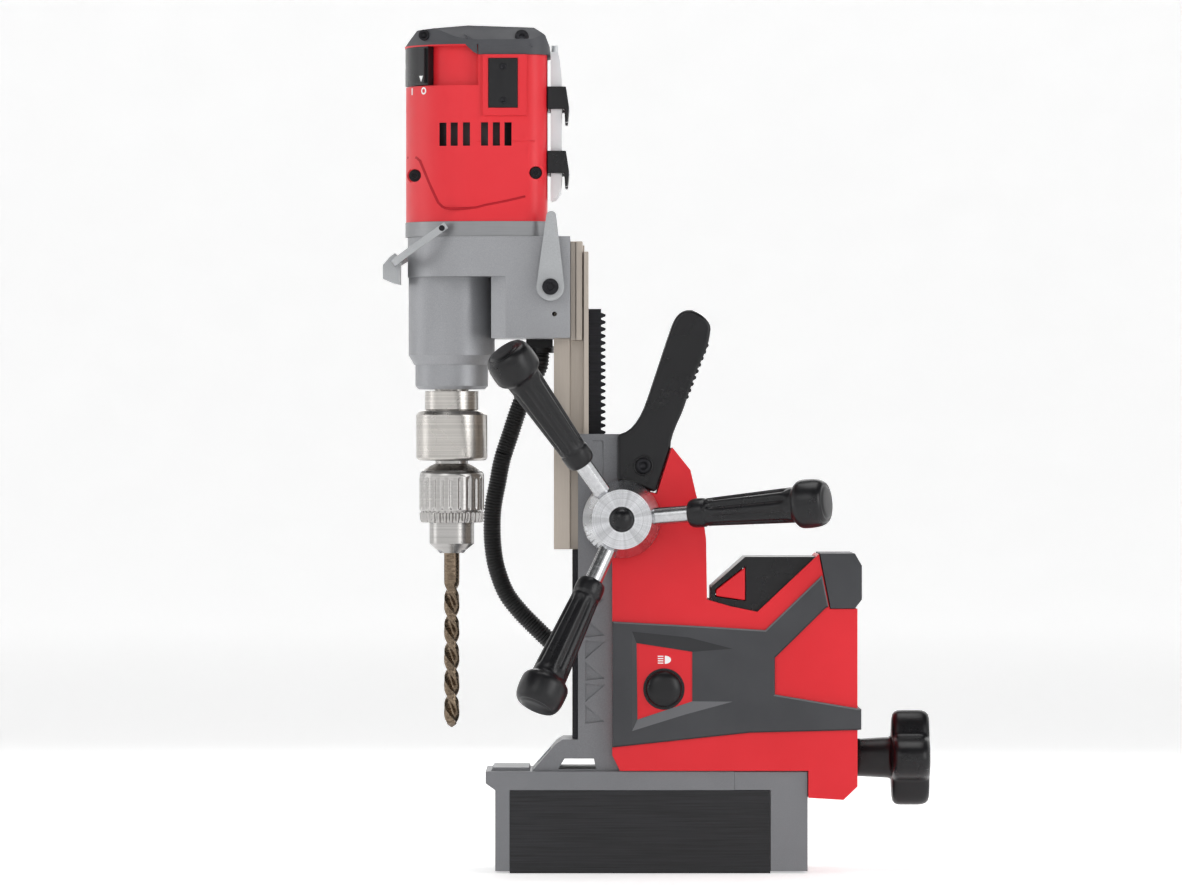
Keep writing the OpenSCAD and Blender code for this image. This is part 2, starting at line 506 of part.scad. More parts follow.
// ---------- gear train, spindle and chuck ----------
phi_mi = atan2(iy, ix - mx);
phi_is = atan2(-iy, sx - ix);
module motor_rotor() color(steel) union() {
  zgear(mx, 0, 0.8, 14, phi_mi, 353, 361);
  zcyl(mx, 0, 4, 360, 455);
  zcyl(mx, 0, 16, 392, 425);
}
module cooling_fan() color(dark) difference() {
  union() {
    zcyl(mx, 0, 8, 377.5, 388);
    zcyl(mx, 0, 28, 377.5, 379);
    for (k = [0:fan_blades - 1]) translate([mx, 0, 378.5]) rotate(k * 360 / fan_blades) translate([6, -0.8, 0]) cube([21, 1.6, 8]);
  }
  zcyl(mx, 0, 4.02, 370, 390);
}
module idler_gear() color(steel) union() {
  zcyl(ix, iy, 4, 335.3, 371.7);
  zgear(ix, iy, 0.8, 14, phi_is, 345.8, 352.5);
  zgear(ix, iy, 0.8, 36, phi_mi + 180 + 180 / 36, 354, 360);
}
module spindle() color(steel) difference() {
  union() {
    zgear(sx, 0, 0.8, 44, phi_is + 180 + 180 / 44, 346, 352);
    zcyl(sx, 0, 10, 266, 346.5);
    zcyl(sx, 0, 15.6, 266.8, 277.6);
    zcyl(sx, 0, 14.95, 238, 267);
  }
  zcyl(sx, 0, 9.52, 230, 264);
}
module quick_collar() color(bright) difference() {
  union() {
    zcone(sx, 0, 19.2, 20.7, 237.3, 239);
    zcyl(sx, 0, 20.7, 239, 264.6);
    zcone(sx, 0, 20.7, 17.4, 264.6, 266.5);
  }
  zcyl(sx, 0, 15.02, 230, 270);
}
module jaw_axis(a) translate([sx, 0, 187]) rotate([0, 0, a]) translate([6.6, 0, 0]) rotate([0, chuck_tilt, 0]) children();
module chuck_body() color(bright) difference() {
  union() {
    zcyl(sx, 0, 9.5, 235, 262);
    zcone(sx, 0, 18.8, 9.6, 231.4, 235.6);
    zcyl(sx, 0, 15, 213.8, 231.6);
    zcyl(sx, 0, 13, 189.2, 214);
    zcone(sx, 0, 6.8, 13, 183.7, 189.2);
  }
  zcyl(sx, 0, drill_d / 2 + 0.45, 180, 217);
  for (a = [90, 210, 330]) jaw_axis(a) translate([0, 0, -10]) cylinder(r = 2.66, h = 38.2);
}
module chuck_jaw(a) color(steel) difference() {
  jaw_axis(a) translate([0, 0, -6]) cylinder(r = 2.6, h = 23.6);
  zcyl(sx, 0, drill_d / 2 + 0.02, 170, 230);
  box(sx - 30, sx + 30, -30, 30, 170, 184.2);
}
module chuck_jaw_1() chuck_jaw(90);
module chuck_jaw_2() chuck_jaw(210);
module chuck_jaw_3() chuck_jaw(330);
module chuck_sleeve() color(bright) difference() {
  union() {
    zcyl(sx, 0, sleeve_r, 207, 229.6);
    zcone(sx, 0, sleeve_r, sleeve_r - 1.4, 229.6, 231);
    translate([sx, 0, 201.4]) linear_extrude(6) polygon([for (k = [0:119]) let(a = k * 3, r = (k % 4 < 2) ? sleeve_r - 0.2 : sleeve_r - 1.4) [r * cos(a), r * sin(a)]]);
  }
  zcyl(sx, 0, 17, 200, 213.6);
  zcyl(sx, 0, 15.06, 213, 233);
}
module drill_bit() color([0.62, 0.55, 0.46]) union() {
  zcyl(sx, 0, drill_d / 2, 166, 214);
  zcyl(sx, 0, drill_d / 2 - 0.1, drill_tip_z + 2.6, 167);
  zcone(sx, 0, 0.3, drill_d / 2 - 0.1, drill_tip_z, drill_tip_z + 2.6);
}

// ---------- battery ----------
case_out = [[40.8, 92], [100.8, 92], [100.8, case_top_z], [60.5, case_top_z], [40.8, 164.5]];
case_in = [[43.2, 94.4], [98.4, 94.4], [98.4, case_top_z - 2.4], [61.4, case_top_z - 2.4], [43.2, 163.4]];
latch_plan = [[43.7, 159.5], [43.7, 163], [60.4, 176], [60.4, 157]];
latch_room = [[43.3, 159.1], [43.3, 163.3], [60.8, 176.9], [60.8, 156.5]];
module battery_case() color(black) difference() {
  xz(case_out, -battery_half_w, battery_half_w);
  xz(case_in, -battery_half_w + 2.5, battery_half_w - 2.5);
  for (s = [-1, 1]) xz(latch_room, s > 0 ? 34 : -50, s > 0 ? 50 : -34);
}
module battery_cells() color([0.25, 0.45, 0.75]) for (q = [[0, 0], [1, 0], [2, 0], [0, 1], [1, 1], [2, 1], [0, 2], [1, 2], [2, 2], [2, 3]])
  ycyl(52.6 + 18.3 * q[0], 103.6 + 18.3 * q[1], 9, -32.5, 32.5);
module latch_near() color(red) xz(latch_plan, -41.5, -36.2);
module latch_far() color(red) xz(latch_plan, 36.2, 41.5);

// ---------- conduit ----------
route = [[-57.5, 26, 299.8], [-57.8, 26, 296], [-59, 27, 291], [-64, 28, 281], [-69.6, 29.5, 269.5], [-75.5, 31, 252], [-80, 32.5, 238], [-82.5, 34, 225.5],
  [-85.4, 36, 210], [-86, 38, 196.5], [-85.2, 40, 184], [-83, 41, 173], [-78, 42, 160], [-70.2, 42, 149.5], [-60, 42, 139], [-51, 42, 130.5], [-44, 42, 125],
  [-39, 42, 122.3], [-34.6, 42, 122]];
module conduit() color(black) tube(route, conduit_d / 2, 10);

base_plate();
base_end_block();
pole_shoes();
pole_separators();
column();
way_strips();
housing_near();
housing_far();
side_overmoulds();
rear_bumper();
carry_handle();
handle_bolts();
control_board();
pinion_bushes();
conduit_gland_lower();
led_lens();
conduit();
hub();
hub_cap();
pinion_shaft();
spoke_rods();
spoke_grips();
slide_bar();
rack();
gear_housing();
motor_flange();
motor_shell_near();
motor_shell_far();
motor_top_cap();
access_plates();
shell_screws();
stator();
head_bearings();
clamp_jaws();
conduit_gland_upper();
bottle_clips();
clamp_lever();
lever_bolt();
gear_selector();
power_switch();
motor_rotor();
cooling_fan();
idler_gear();
spindle();
chuck_body();
drill_bit();
quick_collar();
chuck_sleeve();
chuck_jaw_1();
chuck_jaw_2();
chuck_jaw_3();
magnet_knob();
knob_shaft();
magnet_rotor();
light_button();
battery_case();
battery_cells();
latch_near();
latch_far();
coolant_bottle();
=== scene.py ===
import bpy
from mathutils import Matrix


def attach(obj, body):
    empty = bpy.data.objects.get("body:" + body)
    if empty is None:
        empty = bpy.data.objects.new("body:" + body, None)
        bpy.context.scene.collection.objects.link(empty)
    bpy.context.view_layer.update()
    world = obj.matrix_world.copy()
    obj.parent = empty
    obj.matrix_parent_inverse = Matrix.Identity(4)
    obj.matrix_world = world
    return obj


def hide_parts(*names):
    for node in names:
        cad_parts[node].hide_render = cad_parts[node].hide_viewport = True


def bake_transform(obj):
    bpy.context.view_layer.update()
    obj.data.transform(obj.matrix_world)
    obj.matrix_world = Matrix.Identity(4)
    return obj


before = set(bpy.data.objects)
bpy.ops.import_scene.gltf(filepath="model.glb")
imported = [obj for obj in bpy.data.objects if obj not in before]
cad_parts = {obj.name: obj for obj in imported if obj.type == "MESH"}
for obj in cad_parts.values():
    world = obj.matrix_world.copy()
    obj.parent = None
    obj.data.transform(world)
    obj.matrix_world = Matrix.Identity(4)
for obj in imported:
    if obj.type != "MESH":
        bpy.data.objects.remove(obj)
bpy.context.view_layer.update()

import math
import random
import bpy
import bmesh
from mathutils import Matrix, Vector

random.seed(7)
MM = 0.001
COLY = 36.0
scene = bpy.context.scene
V = Vector

# ------------------------------------------------------------------ camera
cam_data = bpy.data.cameras.new("camera")
cam = bpy.data.objects.new("camera", cam_data)
scene.collection.objects.link(cam)
cam_data.lens, cam_data.sensor_width = 250, 36
cam.location = (-0.0282, -4.762, 0.2475)
cam.rotation_euler = (math.radians(90), 0, 0)
cam_data.dof.use_dof = False
cam_data.clip_end = 50
scene.camera = cam


# ------------------------------------------------------------------ materials
def nodes_of(name):
    m = bpy.data.materials.new(name)
    m.use_nodes = True
    nt = m.node_tree
    b = nt.nodes["Principled BSDF"]
    return m, nt, b


def coords(nt, scale=(1, 1, 1)):
    tc = nt.nodes.new("ShaderNodeTexCoord")
    mp = nt.nodes.new("ShaderNodeMapping")
    mp.inputs["Scale"].default_value = scale
    nt.links.new(tc.outputs["Object"], mp.inputs["Vector"])
    return mp.outputs["Vector"]


def noise(nt, vec, scale, detail=4, rough=0.55):
    n = nt.nodes.new("ShaderNodeTexNoise")
    n.inputs["Scale"].default_value = scale
    n.inputs["Detail"].default_value = detail
    n.inputs["Roughness"].default_value = rough
    nt.links.new(vec, n.inputs["Vector"])
    return n.outputs["Fac"]


def ramp(nt, fac, stops):
    r = nt.nodes.new("ShaderNodeValToRGB")
    e = r.color_ramp.elements
    e[0].position, e[0].color = stops[0][0], (*stops[0][1], 1)
    e[1].position, e[1].color = stops[-1][0], (*stops[-1][1], 1)
    for p, c in stops[1:-1]:
        k = e.new(p)
        k.color = (*c, 1)
    nt.links.new(fac, r.inputs["Fac"])
    return r.outputs["Color"]


def rng(nt, fac, a, b, lo=0.3, hi=0.7):
    r = nt.nodes.new("ShaderNodeMapRange")
    r.inputs["From Min"].default_value = lo
    r.inputs["From Max"].default_value = hi
    r.inputs["To Min"].default_value = a
    r.inputs["To Max"].default_value = b
    nt.links.new(fac, r.inputs["Value"])
    return r.outputs["Result"]


def bump(nt, b, height, strength, dist, prev=None):
    k = nt.nodes.new("ShaderNodeBump")
    k.inputs["Strength"].default_value = strength
    k.inputs["Distance"].default_value = dist
    nt.links.new(height, k.inputs["Height"])
    if prev is not None:
        nt.links.new(prev, k.inputs["Normal"])
    nt.links.new(k.outputs["Normal"], b.inputs["Normal"])
    return k.outputs["Normal"]


def mixc(nt, fac, a, b):
    m = nt.nodes.new("ShaderNodeMix")
    m.data_type = "RGBA"
    nt.links.new(fac, m.inputs[0])
    for s, v in ((m.inputs[6], a), (m.inputs[7], b)):
        if isinstance(v, tuple):
            s.default_value = (*v, 1)
        else:
            nt.links.new(v, s)
    return m.outputs[2]


def edge_mask(nt, radius=0.0008):
    """1 on worn outer edges, 0 on flats."""
    bv = nt.nodes.new("ShaderNodeBevel")
    bv.samples = 4
    bv.inputs["Radius"].default_value = radius
    g = nt.nodes.new("ShaderNodeNewGeometry")
    d = nt.nodes.new("ShaderNodeVectorMath")
    d.operation = "DOT_PRODUCT"
    nt.links.new(bv.outputs["Normal"], d.inputs[0])
    nt.links.new(g.outputs["Normal"], d.inputs[1])
    return rng(nt, d.outputs["Value"], 1, 0, 0.80, 0.98)


def plastic(name, col, col2, rough=(0.34, 0.46), grain=1400, gstr=0.25, gdist=0.00006, spec=0.5, coat=0.0):
    m, nt, b = nodes_of(name)
    v = coords(nt)
    big = noise(nt, v, 14, 3)
    fine = noise(nt, v, grain, 2)
    c = ramp(nt, big, [(0.3, col), (0.7, col2)])
    nt.links.new(c, b.inputs["Base Color"])
    sm = noise(nt, v, 60, 5)
    nt.links.new(rng(nt, sm, rough[0], rough[1]), b.inputs["Roughness"])
    bump(nt, b, fine, gstr, gdist)
    b.inputs["Specular IOR Level"].default_value = spec
    b.inputs["Coat Weight"].default_value = coat
    b.inputs["Coat Roughness"].default_value = 0.25
    return m


def cast_paint(name, col, col2):
    """Silver-grey paint over a casting: fine sparkle and soft mottling."""
    m, nt, b = nodes_of(name)
    v = coords(nt)
    big = noise(nt, v, 22, 4)
    fine = noise(nt, v, 2600, 2)
    mid = noise(nt, v, 420, 3)
    c = ramp(nt, big, [(0.25, col), (0.75, col2)])
    sp = ramp(nt, fine, [(0.35, tuple(x * 0.86 for x in col)), (0.72, tuple(min(1, x * 1.25) for x in col2))])
    mx = nt.nodes.new("ShaderNodeMix")
    mx.data_type = "RGBA"
    mx.inputs[0].default_value = 0.35
    nt.links.new(c, mx.inputs[6])
    nt.links.new(sp, mx.inputs[7])
    nt.links.new(mx.outputs[2], b.inputs["Base Color"])
    b.inputs["Metallic"].default_value = 0.55
    nt.links.new(rng(nt, big, 0.36, 0.5), b.inputs["Roughness"])
    n1 = bump(nt, b, mid, 0.22, 0.00012)
    bump(nt, b, fine, 0.15, 0.00004, n1)
    return m


def brushed(name, col, col2, rough=(0.2, 0.34), stretch=(1, 1, 90), scale=700, bstr=0.25, bdist=0.00003, aniso=0.0, metallic=1.0, blotch=9):
    """Ground or brushed metal; stretch holds the grain's direction (large number = across the grain)."""
    m, nt, b = nodes_of(name)
    v = coords(nt, tuple(s / max(stretch) for s in stretch))
    g = noise(nt, v, scale, 3, 0.6)
    v2 = coords(nt)
    big = noise(nt, v2, blotch, 4)
    c = ramp(nt, g, [(0.28, col), (0.72, col2)])
    c2 = mixc(nt, rng(nt, big, 0.0, 0.35), c, tuple(x * 0.75 for x in col))
    nt.links.new(c2, b.inputs["Base Color"])
    b.inputs["Metallic"].default_value = metallic
    nt.links.new(rng(nt, g, rough[0], rough[1]), b.inputs["Roughness"])
    bump(nt, b, g, bstr, bdist)
    if aniso:
        b.inputs["Anisotropic"].default_value = aniso
    return m


def turned(name, col, col2, centre, axis, rough=(0.16, 0.3), rings=2600, bstr=0.3, painted_sheen=0.0):
    """Lathe-turned metal: fine rings about an axis through a point; painted_sheen adds the radial sheen of a faced
    surface, painted into the colour as darker streaks.
    """
    m, nt, b = nodes_of(name)
    tc = nt.nodes.new("ShaderNodeTexCoord")
    sub = nt.nodes.new("ShaderNodeVectorMath")
    sub.operation = "SUBTRACT"
    sub.inputs[1].default_value = centre
    nt.links.new(tc.outputs["Object"], sub.inputs[0])
    dot = nt.nodes.new("ShaderNodeVectorMath")
    dot.operation = "DOT_PRODUCT"
    dot.inputs[1].default_value = axis
    nt.links.new(sub.outputs[0], dot.inputs[0])
    sc = nt.nodes.new("ShaderNodeVectorMath")
    sc.operation = "SCALE"
    sc.inputs[0].default_value = axis
    nt.links.new(dot.outputs["Value"], sc.inputs["Scale"])
    rad = nt.nodes.new("ShaderNodeVectorMath")
    rad.operation = "SUBTRACT"
    nt.links.new(sub.outputs[0], rad.inputs[0])
    nt.links.new(sc.outputs[0], rad.inputs[1])
    ln = nt.nodes.new("ShaderNodeVectorMath")
    ln.operation = "LENGTH"
    nt.links.new(rad.outputs[0], ln.inputs[0])
    cmb = nt.nodes.new("ShaderNodeCombineXYZ")
    nt.links.new(ln.outputs["Value"], cmb.inputs["X"])
    nt.links.new(dot.outputs["Value"], cmb.inputs["Y"])
    g = noise(nt, cmb.outputs["Vector"], rings, 2, 0.6)
    big = noise(nt, tc.outputs["Object"], 35, 3)
    c = ramp(nt, g, [(0.3, col), (0.7, col2)])
    if painted_sheen:
        # painted sheen: wide soft darker streaks that fan out from the axis, painted in the base colour for the faced
        # surface's radial reflection
        nrm = nt.nodes.new("ShaderNodeVectorMath")
        nrm.operation = "NORMALIZE"
        nt.links.new(rad.outputs[0], nrm.inputs[0])
        fan = noise(nt, nrm.outputs[0], 2.4, 3, 0.7)
        c = mixc(nt, rng(nt, fan, 0.0, painted_sheen, 0.38, 0.62), c, tuple(x * 0.55 for x in col))
    nt.links.new(c, b.inputs["Base Color"])
    b.inputs["Metallic"].default_value = 1.0
    nt.links.new(rng(nt, big, rough[0], rough[1]), b.inputs["Roughness"])
    bump(nt, b, g, bstr, 0.00002)
    return m


def rgb(h):
    def f(c):
        c /= 255
        return c / 12.92 if c <= 0.04045 else ((c + 0.055) / 1.055) ** 2.4
    return tuple(f(int(h[i:i + 2], 16)) for i in (0, 2, 4))


RED = plastic("red_moulding", rgb("cf1722"), rgb("d8202b"), (0.34, 0.46), 1700, 0.22, 0.00005, 0.35)
RED2 = plastic("red_shell", rgb("d51e29"), rgb("dd2933"), (0.32, 0.44), 1900, 0.2, 0.00005, 0.38)
DARK = plastic("grey_overmould", rgb("37383b"), rgb("424346"), (0.5, 0.66), 900, 0.5, 0.0001, 0.35)
CHAR = plastic("charcoal_cap", rgb("3b3c40"), rgb("48494d"), (0.42, 0.56), 1200, 0.4, 0.00008, 0.4)
BLACK = plastic("black_moulding", rgb("0e0e10"), rgb("151518"), (0.24, 0.36), 1100, 0.3, 0.00006, 0.34)
GRIP = plastic("black_grip", rgb("0e0e10"), rgb("161619"), (0.24, 0.36), 1000, 0.3, 0.00006, 0.36)
RIBBED = plastic("ribbed_nylon", rgb("0d0d0e"), rgb("161617"), (0.42, 0.58), 900, 0.3, 0.00006, 0.4)
CAST = cast_paint("grey_casting", rgb("6e6f72"), rgb("7b7c7f"))
CASTHEAD = cast_paint("gearbox_casting", rgb("8e8f92"), rgb("9fa0a3"))
LEVER = cast_paint("lever_paint", rgb("9fa1a3"), rgb("b0b2b4"))
FLANGE = brushed("flange_alu", rgb("8f9092"), rgb("9b9c9e"), (0.36, 0.46), (1, 1, 60), 2600, 0.12, 0.00002)
BED = brushed("ground_bed", rgb("b3a99f"), rgb("bdb4aa"), (0.3, 0.4), (60, 60, 1), 2600, 0.12, 0.00002, blotch=5)
POLE = brushed("blackened_pole", rgb("0b0b0c"), rgb("2c2c30"), (0.42, 0.62), (1, 60, 60), 1700, 0.7, 0.00008, metallic=0.3)
OXIDE = brushed("black_oxide", rgb("1c1c1f"), rgb("2b2b2f"), (0.32, 0.5), (1, 1, 20), 1200, 0.3, 0.00004, metallic=0.7)
CHROME = brushed("chrome_rod", rgb("b9babc"), rgb("cfd0d2"), (0.16, 0.24), (30, 30, 30), 500, 0.05, 0.00001)
BRASS = brushed("brass", rgb("9c7b3c"), rgb("c3a45c"), (0.3, 0.45), (1, 60, 60), 1500, 0.3, 0.00003)
STEEL = brushed("tool_steel", rgb("8f8f91"), rgb("b2b2b4"), (0.24, 0.38), (40, 40, 40), 900, 0.25, 0.00003)
COPPER = brushed("copper_winding", rgb("4a2a16"), rgb("5c351b"), (0.45, 0.6), (1, 1, 60), 2500, 0.8, 0.0001)
COLLAR = turned("turned_collar", rgb("a9a6a2"), rgb("cdc9c4"), (-0.109, 0, 0.25), (0, 0, 1), (0.2, 0.32))
CHUCKM = turned("turned_chuck", rgb("9d9b99"), rgb("c3c1bf"), (-0.109, 0, 0.25), (0, 0, 1), (0.18, 0.3))
HUBM = turned("turned_hub", rgb("c4c5c8"), rgb("e6e7ea"), (-0.0106, 0, 0.2038), (0, 1, 0), (0.2, 0.32), 1500, 0.35, 0.5)
DRILL = brushed("bronze_drill", rgb("5e5145"), rgb("94836f"), (0.2, 0.34), (20, 20, 60), 900, 0.3, 0.00003, blotch=120)
nt = COPPER.node_tree
tcz = nt.nodes.new("ShaderNodeTexCoord")
sepz = nt.nodes.new("ShaderNodeSeparateXYZ")
nt.links.new(tcz.outputs["Object"], sepz.inputs[0])
pb = nt.nodes["Principled BSDF"]
old = pb.inputs["Base Color"].links[0].from_socket
nt.links.new(mixc(nt, rng(nt, sepz.outputs["Z"], 0.0, 1.0, 0.409, 0.411), old, rgb("101010")), pb.inputs["Base Color"])
nt.links.new(rng(nt, sepz.outputs["Z"], 1.0, 0.0, 0.409, 0.411), pb.inputs["Metallic"])
# painted highlight and painted shade: the soft overmould's facets that face up are lightened and those that face down
# are darkened in the base colour by the normal's Z, standing in for light from above
nt = DARK.node_tree
pb = nt.nodes["Principled BSDF"]
old = pb.inputs["Base Color"].links[0].from_socket
gz = nt.nodes.new("ShaderNodeNewGeometry")
sz = nt.nodes.new("ShaderNodeSeparateXYZ")
nt.links.new(gz.outputs["Normal"], sz.inputs[0])
painted_facet_highlight = mixc(nt, rng(nt, sz.outputs["Z"], 0.0, 0.75, 0.02, 0.13), old, rgb("707174"))
painted_facet_shade = mixc(nt, rng(nt, sz.outputs["Z"], 0.7, 0.0, -0.13, -0.02), painted_facet_highlight, rgb("1f2022"))
nt.links.new(painted_facet_shade, pb.inputs["Base Color"])
BOARD = plastic("solder_mask", rgb("0d4a26"), rgb("115a2f"), (0.3, 0.4), 400, 0.3, 0.00005)
CELL = plastic("cell_wrap", rgb("1d4b8c"), rgb("2456a0"), (0.3, 0.4), 400, 0.2, 0.00004)
WHITE = plastic("white_print", rgb("e9e9e9"), rgb("f4f4f4"), (0.45, 0.6), 800, 0.2, 0.00002)

BOTTLE, nt, b = nodes_of("milky_bottle")
v = coords(nt)
c = ramp(nt, noise(nt, v, 30, 3), [(0.3, rgb("dfe3e6")), (0.7, rgb("f1f3f5"))])
nt.links.new(c, b.inputs["Base Color"])
b.inputs["Roughness"].default_value = 0.34
b.inputs["Transmission Weight"].default_value = 0.25
b.inputs["Subsurface Weight"].default_value = 0.3
b.inputs["Subsurface Radius"].default_value = (0.01, 0.01, 0.011)
b.inputs["Subsurface Scale"].default_value = 0.4
bump(nt, b, noise(nt, v, 260, 3), 0.25, 0.0001)

LENS, nt, b = nodes_of("clear_lens")
v = coords(nt)
nt.links.new(ramp(nt, noise(nt, v, 400, 2), [(0.3, rgb("dfe9f0")), (0.7, rgb("f5fafd"))]), b.inputs["Base Color"])
b.inputs["Roughness"].default_value = 0.12
b.inputs["Transmission Weight"].default_value = 0.7
wv = nt.nodes.new("ShaderNodeTexWave")
wv.wave_type = "RINGS"
wv.inputs["Scale"].default_value = 260
nt.links.new(v, wv.inputs["Vector"])
bump(nt, b, wv.outputs["Fac"], 0.4, 0.0001)


# ------------------------------------------------------------------ mesh helpers
def put(name, me, mat, body, slot, replaces=(), smooth=True, wn=True):
    o = bpy.data.objects.new(name, me)
    scene.collection.objects.link(o)
    me.materials.clear()
    me.materials.append(mat)
    if smooth:
        me.shade_smooth()
    if wn:
        w = o.modifiers.new("normals", "WEIGHTED_NORMAL")
        w.keep_sharp = True
        w.weight = 60
    if body:
        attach(o, body)
    if replaces:
        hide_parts(*replaces)
    return o


def from_bm(name, bm, mat, body, slot, replaces=(), **k):
    bmesh.ops.recalc_face_normals(bm, faces=bm.faces)
    me = bpy.data.meshes.new(name)
    bm.to_mesh(me)
    bm.free()
    return put(name, me, mat, body, slot, replaces, **k)


def node_bm(node):
    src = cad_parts[node].data
    bm = bmesh.new()
    vs = [bm.verts.new(v.co) for v in src.vertices]
    for p in src.polygons:
        try:
            bm.faces.new([vs[i] for i in p.vertices])
        except ValueError:
            pass
    bmesh.ops.remove_doubles(bm, verts=bm.verts, dist=2e-6)
    bmesh.ops.dissolve_degenerate(bm, edges=bm.edges, dist=1e-6)
    return bm


def refine(node, mat, body, slot, w=0.6, seg=2, ang=28, keep=None, name=None, sharp=38):
    """The CAD node's own surface with its edges rounded: a copy of its mesh, cleaned and bevelled."""
    bm = node_bm(node)
    bmesh.ops.dissolve_limit(bm, angle_limit=math.radians(0.6), verts=bm.verts, edges=bm.edges, delimit=set())
    bm.normal_update()
    pick = []
    for e in bm.edges:
        if len(e.link_faces) != 2 or e.calc_length() < 3e-5:
            continue
        a = e.calc_face_angle(0)
        if a > math.radians(ang) and (keep is None or keep(e)):
            pick.append(e)
    if w > 0 and pick:
        bmesh.ops.bevel(bm, geom=pick, offset=w * MM, offset_type="OFFSET", segments=seg, profile=0.5, affect="EDGES",
                        clamp_overlap=True, material=-1)
    me = bpy.data.meshes.new(node + "_piece")
    bmesh.ops.recalc_face_normals(bm, faces=bm.faces)
    bm.to_mesh(me)
    bm.free()
    o = put(name or node + "_piece", me, mat, body, slot, (node,))
    me.set_sharp_from_angle(angle=math.radians(sharp))
    return o


def lathe(name, prof, mat, body, slot, matrix, n=64, replaces=(), rad=None, closed=True):
    """Surface of revolution about local Z. prof is (r, z) in mm; rad(angle, i, r, z) may modulate the radius."""
    bm = bmesh.new()
    rings = []
    for i, (r, z) in enumerate(prof):
        if r < 1e-6:
            rings.append([bm.verts.new(matrix @ V((0, 0, z * MM)))])
            continue
        ring = []
        for k in range(n):
            a = 2 * math.pi * k / n
            q = rad(a, i, r, z) if rad else r
            ring.append(bm.verts.new(matrix @ V((q * math.cos(a) * MM, q * math.sin(a) * MM, z * MM))))
        rings.append(ring)
    for A, B in zip(rings, rings[1:]):
        if len(A) == 1 and len(B) == 1:
            continue
        for k in range(n):
            if len(A) == 1:
                bm.faces.new((A[0], B[(k + 1) % n], B[k]))
            elif len(B) == 1:
                bm.faces.new((A[k], A[(k + 1) % n], B[0]))
            else:
                bm.faces.new((A[k], A[(k + 1) % n], B[(k + 1) % n], B[k]))
    if closed:
        for R in (rings[0], rings[-1]):
            if len(R) > 1:
                bm.faces.new(R)
    return from_bm(name, bm, mat, body, slot, replaces)


def prism(name, pts, y0, y1, mat, body, slot, w=0.4, seg=2, replaces=(), plane="xz", matrix=None, ang=25):
    """Extruded outline (mm) with rounded edges."""
    bm = bmesh.new()

    def P(p, t):
        q = {"xz": (p[0], t, p[1]), "xy": (p[0], p[1], t), "yz": (t, p[0], p[1])}[plane]
        u = V(q) * MM
        return matrix @ u if matrix else u
    a = [bm.verts.new(P(p, y0)) for p in pts]
    c = [bm.verts.new(P(p, y1)) for p in pts]
    bm.faces.new(a)
    bm.faces.new(c)
    n = len(pts)
    for k in range(n):
        bm.faces.new((a[k], a[(k + 1) % n], c[(k + 1) % n], c[k]))
    bmesh.ops.recalc_face_normals(bm, faces=bm.faces)
    if w:
        es = [e for e in bm.edges if e.calc_face_angle(0) > math.radians(ang)]
        bmesh.ops.bevel(bm, geom=es, offset=w * MM, offset_type="OFFSET", segments=seg, profile=0.5, affect="EDGES", clamp_overlap=True, material=-1)
    o = from_bm(name, bm, mat, body, slot, replaces)
    o.data.set_sharp_from_angle(angle=math.radians(40))
    return o


def chaikin(pts, n=2, keep=()):
    for _ in range(n):
        out = []
        m = len(pts)
        for i in range(m):
            p, q = V(pts[i]), V(pts[(i + 1) % m])
            out += [tuple(p * 0.75 + q * 0.25), tuple(p * 0.25 + q * 0.75)]
        pts = out
    return pts


def spline(pts, step):
    """Even points along a Catmull-Rom curve through pts (mm)."""
    P = [V(p) for p in pts]
    P = [P[0] * 2 - P[1]] + P + [P[-1] * 2 - P[-2]]
    dense = []
    for i in range(1, len(P) - 2):
        for k in range(24):
            t = k / 24
            a, b_, c_, d = P[i - 1], P[i], P[i + 1], P[i + 2]
            dense.append(0.5 * ((2 * b_) + (c_ - a) * t + (2 * a - 5 * b_ + 4 * c_ - d) * t * t + (3 * b_ - a - 3 * c_ + d) * t ** 3))
    dense.append(P[-2])
    L = [0]
    for a, b_ in zip(dense, dense[1:]):
        L.append(L[-1] + (b_ - a).length)
    n = max(2, round(L[-1] / step))
    out, j = [], 0
    for i in range(n + 1):
        s = L[-1] * i / n
        while j < len(L) - 2 and L[j + 1] < s:
            j += 1
        t = (s - L[j]) / max(1e-9, L[j + 1] - L[j])
        out.append(dense[j].lerp(dense[j + 1], min(1, max(0, t))))
    return out, L[-1]


def sweep(name, pts, radii, mat, n=20):
    bm = bmesh.new()
    rings = []
    up = V((0, 1, 0))
    for i, p in enumerate(pts):
        t = (pts[min(i + 1, len(pts) - 1)] - pts[max(i - 1, 0)]).normalized()
        u = t.cross(up).normalized()
        w = u.cross(t)
        rings.append([bm.verts.new((p + radii[i] * (math.cos(2 * math.pi * k / n) * u + math.sin(2 * math.pi * k / n) * w)) * MM) for k in range(n)])
    for A, B in zip(rings, rings[1:]):
        for k in range(n):
            bm.faces.new((A[k], A[(k + 1) % n], B[(k + 1) % n], B[k]))
    bm.faces.new(rings[0])
    bm.faces.new(rings[-1])
    return from_bm(name, bm, mat, None, None, wn=False)


